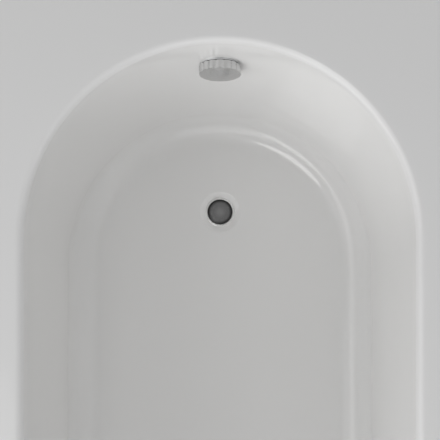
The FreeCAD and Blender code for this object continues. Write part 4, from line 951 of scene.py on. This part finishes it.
@dataclass
class Skirt:
    """Tapered outer shell with a flange under the deck and one round its foot. Sizes in millimetres."""

    finishes: Finishes
    taper: float = 25.7
    corner: float = 38.0
    wall: float = 5.0
    top_flange: float = 30.0
    foot_flange: float = 35.0

    def section(self) -> list[tuple[float, float, float]]:
        """The wall's section: distance in from the outer face, and height, in metres."""
        low, high = (v.z / MM for v in cad_box("skirt"))
        w = self.wall
        corners = [
            (0, high, 1.0), (0, low, 2.4), (self.foot_flange, low, 1.2), (self.foot_flange, low + w, 1.2),
            (w, low + w, 4.0),
            (w, high - w, 3.0), (self.top_flange, high - w, 1.2), (self.top_flange, high, 1.2),
        ]
        rounded = eased(corners, 4)
        out: list[tuple[float, float, float]] = []
        for i, (x, z) in enumerate(rounded):
            out.append((x * MM, z * MM, 0.0))
            nx, nz = rounded[(i + 1) % len(rounded)]
            pieces = int(math.hypot(nx - x, nz - z) // 60)
            for k in range(1, pieces + 1):
                t = k / (pieces + 1)
                out.append(((x + (nx - x) * t) * MM, (z + (nz - z) * t) * MM, 0.0))
        return out

    def build(self) -> Piece:
        """Sweeps the section round a rounded rectangle, and tapers it towards the foot."""
        low, high = cad_box("skirt")
        g = GrowthTree(
            "skirt_growth",
            {
                "Length": high.x - low.x, "Width": high.y - low.y, "Corner": self.corner * MM,
                "Taper": self.taper * MM, "Top": high.z, "Height": high.z - low.z,
            },
        )
        section = g.put("GeometryNodeMeshToCurve", {"Mesh": g.base})
        section = g.keep(section, "kept_section", g.put("GeometryNodeInputPosition"))
        plan = g.put(
            "GeometryNodeCurvePrimitiveQuadrilateral",
            {"Width": g.size("Length"), "Height": g.size("Width")},
        )
        plan = g.put(
            "GeometryNodeFilletCurve", {"Curve": plan, "Count": 14, "Radius": g.size("Corner")},
            mode="POLY",
        )
        plan = g.keep(plan, "kept_plan", g.put("GeometryNodeInputPosition"))
        swept = g.put("GeometryNodeCurveToMesh", {"Curve": plan, "Profile Curve": section})
        half_x = g.minus(g.times(g.size("Length"), 0.5), g.size("Corner"))
        half_y = g.minus(g.times(g.size("Width"), 0.5), g.size("Corner"))
        core = g.put("ShaderNodeCombineXYZ", {0: half_x, 1: half_y})
        point = g.kept("kept_plan")
        nearest = g.vectors("MAXIMUM", g.vectors("MINIMUM", point, core), g.scaled(core, -1.0))
        outward = g.vectors("NORMALIZE", g.vectors("SUBTRACT", point, nearest))
        inset, height, _ = g.parts(g.kept("kept_section"))
        fall = g.over(g.minus(g.size("Top"), height), g.size("Height"))
        pull = g.times(fall, g.size("Taper"))
        shrink = g.put("ShaderNodeCombineXYZ", {0: g.over(pull, half_x), 1: g.over(pull, half_y)})
        core_point = g.vectors("SUBTRACT", nearest, g.vectors("MULTIPLY", nearest, shrink))
        reach = g.scaled(outward, g.minus(g.size("Corner"), inset))
        lift = g.put("ShaderNodeCombineXYZ", {2: height})
        spot = g.vectors("ADD", g.vectors("ADD", core_point, reach), lift)
        shape = g.put("GeometryNodeSetPosition", {"Geometry": swept, "Position": spot})
        return g.apply(wire("tub_skirt", self.section(), True), shape, self.finishes.of("skirt_acrylic"))

    def dress(self) -> None:
        """Shows the skirt in place of its CAD node."""
        show(self.build(), "tub", "skirt_acrylic", "skirt")


# ---------------------------------------------------------------- drain and overflow


@dataclass
class Drain:
    """Chrome flange with its stem guide, and the pop-up plug that sits in it. Sizes in millimetres."""

    finishes: Finishes
    place: Matrix
    flange_radius: float = 28.5
    flange_thick: float = 2.4
    hub_radius: float = 25.0
    bore: float = 22.0
    hub_drop: float = 16.0
    plug_radius: float = 24.4
    crown: float = 3.8
    arms: int = 3
    arm_width: float = 3.0
    arm_height: float = 3.6
    guide_bore: float = 3.2
    guide_radius: float = 6.0
    guide_height: float = 4.0
    turns: int = 128

    def build_flange(self) -> Piece:
        """Turned flange and hub, with the arms that guide the stem."""
        recess = self.plug_radius + 0.5
        bm = bmesh.new()
        profile = eased(
            [
                (self.bore, -self.hub_drop, 0.4), (self.hub_radius, -self.hub_drop, 0.4),
                (self.hub_radius, 0.0, 0.3),
                (self.flange_radius, 0.0, 0.2), (self.flange_radius, self.flange_thick * 0.62, 0.8),
                (self.flange_radius - 0.9, self.flange_thick, 0.8), (recess + 0.7, self.flange_thick, 0.5),
                (recess, self.flange_thick - 0.7, 0.5), (recess, 0.9, 0.4), (self.bore + 1, -2.6, 0.8),
                (self.bore, -4.5, 0.8),
            ]
        )
        lathe(bm, profile, self.turns, self.place)
        foot, head = -self.hub_drop, -self.hub_drop + self.guide_height
        inner, outer = self.guide_bore, self.guide_radius
        guide = eased([(inner, foot, 0.3), (outer, foot, 0.3), (outer, head, 0.4), (inner, head, 0.3)])
        lathe(bm, guide, 48, self.place)
        for i in range(self.arms):
            turn = Matrix.Rotation(TAU * i / self.arms, 4, "Z")
            arm = bmesh.ops.create_cube(bm, size=1.0)["verts"]
            size = Matrix.Diagonal((self.bore - 4.6, self.arm_width, self.arm_height, 1.0))
            shift = Matrix.Translation(((self.bore + 5.6) / 2, 0.0, -self.hub_drop + 2.0))
            bmesh.ops.transform(
                bm, matrix=self.place @ Matrix.Scale(MM, 4) @ turn @ shift @ size, verts=arm,
            )
            edges = list({e for v in arm for e in v.link_edges})
            bmesh.ops.bevel(bm, geom=edges, offset=0.35 * MM, segments=2, affect="EDGES")
        return settle(bm, "drain_flange_chrome", self.finishes.of("chrome"))

    def build_plug(self) -> Piece:
        """Turned plug with a low crown and a soft rim."""
        r, top = self.plug_radius, self.crown
        crown = [
            (r * math.sin(a), top - 1.15 * (math.sin(a) ** 2.6))
            for a in (math.pi / 2 * i / 14 * 0.86 for i in range(15))
        ]
        rim = [
            (r - 0.9, top - 1.25), (r - 0.45, top - 1.45), (r - 0.12, top - 1.75), (r, top - 2.1),
            (r - 0.15, top - 2.35), (r - 0.6, 1.3),
        ]
        foot = [(r - 1.3, 0.75), (r - 2.2, 0.4), (17.0, 0.4), (17.0, -1.8), (0.0, -1.8)]
        bm = bmesh.new()
        last_r, last_h = crown[-1]
        rim = [(x, z) for x, z in rim if x > last_r + 0.1 or z < last_h - 0.1]
        lathe(bm, crown + rim + foot, self.turns, self.place, closed=False)
        return settle(bm, "pop_up_plug", self.finishes.of("plug_chrome"), crease=38.0)

    def dress(self) -> None:
        """Shows flange and plug in place of their CAD nodes."""
        show(self.build_flange(), "tub", "chrome", "drain_flange")
        show(self.build_plug(), "plug", "plug_chrome", "drain_plug")


@dataclass
class Knob:
    """Lobed overflow knob, hollow behind, on the drain-end wall. Sizes in millimetres."""

    finishes: Finishes
    place: Matrix
    radius: float = 37.5
    lobes: int = 16
    lobe_radius: float = 10.0
    start: float = 4.5
    depth: float = 16.0
    face_radius: float = 35.1
    bevel_slope: float = 0.494
    cavity: float = 32.0
    front: float = 4.0
    boss: float = 10.0
    bore: float = 4.02
    socket: float = 15.2
    dome: float = 0.6

    def base(self) -> Piece:
        """The knob as a plain turned shape, before its lobes."""
        face = self.start + self.depth
        r = self.radius
        profile: Profile = [
            (x, face - self.dome * (x / r) ** 2)
            for x in (0.0, 8.0, 14.0, 20.0, 26.0, 31.0, 34.2, self.face_radius)
        ]
        profile += [
            (self.face_radius + (r - self.face_radius) * t, face - self.dome)
            for t in (0.25, 0.5, 0.75, 1.0)
        ]
        profile += [(r, face - 1.9), (r, face - 3.0)] + [
            (r, self.start + self.depth * t)
            for t in (0.7, 0.5, 0.3, 0.1)
        ]
        profile += [(r, self.start + 0.6), (r - 0.25, self.start + 0.15), (r - 0.8, self.start)]
        back, ceiling, cavity, boss = self.start, face - self.front, self.cavity, self.boss
        profile += [
            (cavity + 0.6, back), (cavity, back + 0.6), (cavity, ceiling - 1.0), (cavity - 1.0, ceiling),
        ]
        profile += [(boss + 1.0, ceiling), (boss, ceiling - 1.0), (boss, back + 0.5), (boss - 0.5, back)]
        profile += [
            (self.bore + 0.3, self.start), (self.bore, self.start + 0.3), (self.bore, self.socket),
            (0.0, self.socket),
        ]
        bm = bmesh.new()
        lathe(bm, profile, self.lobes * 14, Matrix.Identity(4), closed=False)
        return settle(bm, "overflow_knob_chrome")

    def build(self) -> Piece:
        """Pushes the outer wall out into lobes and in at the grooves between them."""
        lobe_centre, face = self.radius - self.lobe_radius, self.start + self.depth
        g = GrowthTree(
            "knob_growth",
            {
                "Lobes": float(self.lobes),
                "Lobe Radius": self.lobe_radius * MM, "Lobe Centre": lobe_centre * MM,
                "Face Radius": self.face_radius * MM, "Radius": self.radius * MM, "Face": face * MM,
                "Bevel": self.bevel_slope,
            },
        )
        x, y, z = g.parts(g.put("GeometryNodeInputPosition"))
        turn = g.sums("ARCTAN2", y, x)
        pitch = g.over(TAU, g.size("Lobes"))
        local = g.minus(
            g.sums("FLOORED_MODULO", g.plus(turn, g.times(pitch, 0.5)), pitch), g.times(pitch, 0.5),
        )
        across = g.times(g.size("Lobe Centre"), g.sums("SINE", local))
        square = g.minus(g.sums("POWER", g.size("Lobe Radius"), 2.0), g.times(across, across))
        lobed = g.plus(g.times(g.size("Lobe Centre"), g.sums("COSINE", local)), g.sums("SQRT", square))
        radial = g.sums("SQRT", g.plus(g.times(x, x), g.times(y, y)))
        share = g.put(
            "ShaderNodeMapRange",
            {0: radial, 1: g.size("Face Radius"), 2: g.size("Radius"), 3: 0.0, 4: 1.0},
        )
        plain = g.sums("MINIMUM", radial, g.size("Face Radius"))
        reach = g.sums("MULTIPLY_ADD", share, g.minus(lobed, g.size("Face Radius")), plain)
        grow = g.over(reach, g.sums("MAXIMUM", radial, 1e-6))
        past = g.sums("MAXIMUM", g.minus(reach, g.size("Face Radius")), 0.0)
        bevelled = g.minus(g.size("Face"), g.times(past, g.size("Bevel")))
        spot = g.put(
            "ShaderNodeCombineXYZ",
            {0: g.times(x, grow), 1: g.times(y, grow), 2: g.sums("MINIMUM", z, bevelled)},
        )
        shape = g.put("GeometryNodeSetPosition", {"Geometry": g.base, "Position": spot})
        return g.apply(self.base(), shape, self.finishes.of("knob_chrome"), self.place, crease=24.0)

    def dress(self) -> None:
        """Shows the knob in place of its CAD node."""
        show(self.build(), "knob", "knob_chrome", "overflow_knob")


@dataclass
class OverflowHose:
    """Corrugated hose from the overflow chamber down to the waste cup. Sizes in millimetres."""

    finishes: Finishes
    corners: tuple[tuple[float, float, float], ...] = (
        (555.0, 0.0, 133.0), (716.7, 0.0, 133.0), (795.1, 0.0, 447.5),
    )
    bend: float = 90.0
    crest: float = 18.35
    rib_depth: float = 1.5
    pitch: float = 5.2
    cuff: float = 24.0

    def build(self) -> Piece:
        """Sweeps a tube along the bent path and lets its radius rise and fall in ribs."""
        g = GrowthTree(
            "hose_growth",
            {
                "Bend": self.bend * MM, "Crest": self.crest * MM, "Rib": self.rib_depth / self.crest,
                "Pitch": self.pitch * MM, "Cuff": self.cuff * MM,
            },
        )
        line = g.put("GeometryNodeMeshToCurve", {"Mesh": g.base})
        line = g.put(
            "GeometryNodeFilletCurve",
            {"Curve": line, "Count": 48, "Radius": g.size("Bend"), "Limit Radius": True}, mode="POLY",
        )
        line = g.put(
            "GeometryNodeResampleCurve", {"Curve": line, "Length": self.pitch * MM / 8}, mode="LENGTH",
        )
        length = g.put("GeometryNodeSplineParameter", out="Length")
        total = g.put("GeometryNodeSplineLength", out="Length")
        wave = g.sums("COSINE", g.over(g.times(length, TAU), g.size("Pitch")))
        valley = g.times(g.minus(1.0, wave), 0.5)
        from_end = g.sums("MINIMUM", length, g.minus(total, length))
        open_run = g.put(
            "ShaderNodeMapRange",
            {0: from_end, 1: g.size("Cuff"), 2: g.plus(g.size("Cuff"), 0.004), 3: 0.0, 4: 1.0},
        )
        dip = g.times(g.times(valley, g.size("Rib")), open_run)
        line = g.put("GeometryNodeSetCurveRadius", {"Curve": line, "Radius": g.minus(1.0, dip)})
        round_section = g.put(
            "GeometryNodeCurvePrimitiveCircle", {"Resolution": 40, "Radius": g.size("Crest")},
        )
        tube = g.put(
            "GeometryNodeCurveToMesh", {"Curve": line, "Profile Curve": round_section, "Fill Caps": True},
        )
        scale = tube.node.inputs.get("Scale")
        if scale is not None:
            g.tree.links.new(g.put("GeometryNodeInputRadius"), scale)
        points = [tuple(v * MM for v in corner) for corner in self.corners]
        return g.apply(
            wire("overflow_hose_ribbed", points, False), tube, self.finishes.of("hose_plastic"),
            crease=50.0,
        )

    def dress(self) -> None:
        """Shows the hose in place of its CAD node."""
        show(self.build(), "tub", "hose_plastic", "overflow_hose")


# ---------------------------------------------------------------- feet


@dataclass
class LevellingStud:
    """Threaded stud of one foot, with a turned collar. Sizes in millimetres."""

    finishes: Finishes
    corner: str
    pitch: float = 1.75
    thread: float = 0.75
    radius: float = 6.0
    collar_radius: float = 9.0
    lead: float = 1.0
    run_out: float = 2.4
    collar_low: float = 22.6
    collar_high: float = 30.6

    def build(self) -> Piece:
        """Winds a thread round a turned core."""
        low, high = cad_box(f"foot_stud_{self.corner}")
        middle = (low + high) / 2
        place = Matrix.Translation((middle.x, middle.y, 0.0))
        core = self.radius - self.thread
        bottom, top = low.z / MM, high.z / MM
        profile = eased(
            [
                (0.0, bottom, 0.0), (core, bottom, 0.8), (core, self.collar_low, 0.3),
                (self.collar_radius, self.collar_low, 0.7),
                (
                    self.collar_radius, self.collar_high, 0.7,
                ), (core, self.collar_high, 0.4), (core, top, 0.8), (0.0, top, 0.0),
            ]
        )
        bm = bmesh.new()
        lathe(bm, profile, 36, Matrix.Identity(4), closed=False)
        base = settle(bm, f"levelling_stud_{self.corner}")
        run = top - self.collar_high - self.run_out
        g = GrowthTree(
            "thread_growth",
            {
                "Turns": run / self.pitch, "Core": core * MM, "Run": run * MM,
                "Start": (self.collar_high + self.lead) * MM, "Tooth": self.thread * MM,
            },
        )
        coil = g.put(
            "GeometryNodeCurveSpiral",
            {
                "Resolution": 20, "Rotations": g.size("Turns"), "Start Radius": g.size("Core"),
                "End Radius": g.size("Core"), "Height": g.size("Run"),
            },
        )
        lift = g.put("ShaderNodeCombineXYZ", {2: g.size("Start")})
        coil = g.put("GeometryNodeSetPosition", {"Geometry": coil, "Offset": lift})
        tooth = g.put("GeometryNodeCurvePrimitiveCircle", {"Resolution": 4, "Radius": g.size("Tooth")})
        thread = g.put(
            "GeometryNodeCurveToMesh", {"Curve": coil, "Profile Curve": tooth, "Fill Caps": True},
        )
        both = g.put("GeometryNodeJoinGeometry")
        for shape in (thread, g.base):
            g.tree.links.new(shape, both.node.inputs[0])
        return g.apply(base, both, self.finishes.of("stud_steel"), place, crease=35.0)

    def dress(self) -> None:
        """Shows the stud in place of its CAD node."""
        show(self.build(), f"stud_{self.corner}", "stud_steel", f"foot_stud_{self.corner}")


# ---------------------------------------------------------------- carried-over nodes


@dataclass
class CarriedNodes:
    """CAD nodes whose shape is right already, which get their real finish."""

    finishes: Finishes
    shown: int = 0

    def dress(self) -> None:
        """Gives each shown node the finish of its slot."""
        slots = {part["node"]: part["material_slot"] for part in frame["record"]["subparts"]}
        for name, node in frame["nodes"].items():
            if node.hide_render:
                continue
            node.data.materials.clear()
            node.data.materials.append(self.finishes.of(slots[name]))
            self.shown += 1
        log.info("%d nodes carried over", self.shown)


# ---------------------------------------------------------------- studio


@dataclass(frozen=True)
class SoftBox:
    """One soft light, aimed at the well. Azimuth from +X towards +Y, in degrees."""

    name: str
    azimuth: float
    elevation: float
    distance: float
    size: float
    watts: float

    def hang(self, target: Vector) -> None:
        """Puts the light in the scene."""
        lamp = bpy.data.lights.new(self.name, "AREA")
        lamp.shape, lamp.size, lamp.energy = "DISK", self.size, self.watts
        a, e = math.radians(self.azimuth), math.radians(self.elevation)
        toward = Vector((math.cos(a) * math.cos(e), math.sin(a) * math.cos(e), math.sin(e)))
        light = bpy.data.objects.new(self.name, lamp)
        light.location = target + toward * self.distance
        light.rotation_euler = toward.to_track_quat("Z", "Y").to_euler()
        light.visible_camera = False
        bpy.context.scene.collection.objects.link(light)


@dataclass
class Studio:
    """Pale floor, soft light and the camera straight over the drain end."""

    target: Vector = field(default_factory=lambda: Vector((0.5, 0.0, 0.55)))
    camera_at: tuple[float, float, float] = (0.501, 0.0, 3.153)
    lens: float = 122.7
    lights: tuple[SoftBox, ...] = (
        SoftBox("window_low", 141.5, 17.0, 4.2, 3.2, 60.0),
        SoftBox("window_high", 141.5, 45.0, 4.2, 5.0, 32.0),
        SoftBox("ceiling_spot", 147.0, 62.0, 3.6, 1.0, 9.5),
        SoftBox("end_wall_bounce", 180.0, 26.0, 4.2, 2.8, 24.0),
        SoftBox("side_wall_bounce", 100.0, 30.0, 4.2, 3.6, 34.0),
        SoftBox("fill_drain_end", -40.0, 40.0, 4.2, 5.0, 38.0),
        SoftBox("fill_far_side", -90.0, 40.0, 4.2, 5.0, 25.0),
        SoftBox("fill_head_end", -140.0, 40.0, 4.2, 3.6, 6.3),
    )
    horizon: float = 0.14
    zenith: float = 0.14

    def build_floor(self) -> None:
        """A wide pale floor under the bath."""
        bm = bmesh.new()
        bmesh.ops.create_grid(bm, x_segments=8, y_segments=8, size=7.0)
        m = MaterialTree("pale_studio_floor")
        base = m.blend(m.noise(2.0, 3.0), (0.62, 0.62, 0.61), (0.66, 0.66, 0.65))
        floor = settle(
            bm, "studio_floor", m.finish(base, m.between(m.noise(8.0), 0.6, 0.75)), outward=False,
        )
        floor.data.transform(Matrix.Translation((0.0, 0.0, CAD_BOX[0][2] - 0.0005)))

    def build_sky(self) -> None:
        """A pale surround whose strength runs from the horizon's level up to the zenith's."""
        world = bpy.data.worlds.new("studio_surround")
        bpy.context.scene.world = world
        world.use_nodes = True
        tree = world.node_tree
        tree.nodes.clear()
        direction = put(tree, "ShaderNodeTexCoord", out="Generated")
        up = put(tree, "ShaderNodeSeparateXYZ", {0: direction}, 2)
        level = put(
            tree, "ShaderNodeMapRange", {0: up, 1: 0.3, 2: 1.0, 3: self.horizon, 4: self.zenith},
            interpolation_type="SMOOTHSTEP",
        )
        light = put(tree, "ShaderNodeBackground", {"Color": (1.0, 1.0, 1.0, 1.0), "Strength": level})
        end = tree.nodes.new("ShaderNodeOutputWorld")
        tree.links.new(light, end.inputs[0])

    def build_camera(self) -> None:
        """The camera, looking straight down with the drain end up."""
        lens = bpy.data.cameras.new("view_from_above")
        lens.lens, lens.sensor_width, lens.clip_end = self.lens, 36.0, 60.0
        camera = bpy.data.objects.new("view_from_above", lens)
        camera.location = self.camera_at
        camera.rotation_euler = (0.0, 0.0, -math.pi / 2)
        bpy.context.scene.collection.objects.link(camera)
        bpy.context.scene.camera = camera

    def build(self) -> None:
        """Sets up everything that isn't the bath."""
        bpy.context.scene.view_settings.view_transform = "Standard"
        self.build_floor()
        self.build_sky()
        self.build_camera()
        for light in self.lights:
            light.hang(self.target)


# ---------------------------------------------------------------- assembly


def overflow_frame() -> Matrix:
    """The overflow's own frame: X up the wall, Y across, Z into the bath."""
    turn = next(j for j in frame["joints"] if j["name"] == "knob_turn")
    up = Vector(turn["axis"])
    up = -up if up.z < 0 and up.x < 0 else up
    into = Vector((-abs(up.x), 0.0, abs(up.z))).normalized()
    along = Vector((0.0, 1.0, 0.0)).cross(into).normalized()
    rows = Matrix((along, (0.0, 1.0, 0.0), into)).transposed().to_4x4()
    rows.translation = Vector(turn["pos_m"])
    return rows


def drain_frame() -> Matrix:
    """The drain's own frame, with its origin in the seat."""
    low, high = cad_box("drain_flange")
    return Matrix.Translation(((low.x + high.x) / 2, 0.0, high.z - Drain.flange_thick * MM))


def main() -> None:
    """Builds the bath and its studio."""
    logging.basicConfig(level=logging.INFO, format="%(name)s: %(message)s")
    finishes = Finishes(cad_box("basin")[1].z, drain_frame().translation.x)
    wall, seat = overflow_frame(), drain_frame()
    floor_at_drain = Vector((seat.translation.x, 0.0, seat.translation.z + 4.0 * MM))
    Studio().build()
    Basin(finishes, wall, floor_at_drain).dress()
    Skirt(finishes).dress()
    Drain(finishes, seat).dress()
    Knob(finishes, wall).dress()
    OverflowHose(finishes).dress()
    for end in ("drain", "head"):
        for side in ("left", "right"):
            LevellingStud(finishes, f"{end}_{side}").dress()
    CarriedNodes(finishes).dress()


if __name__ == "__main__":
    main()
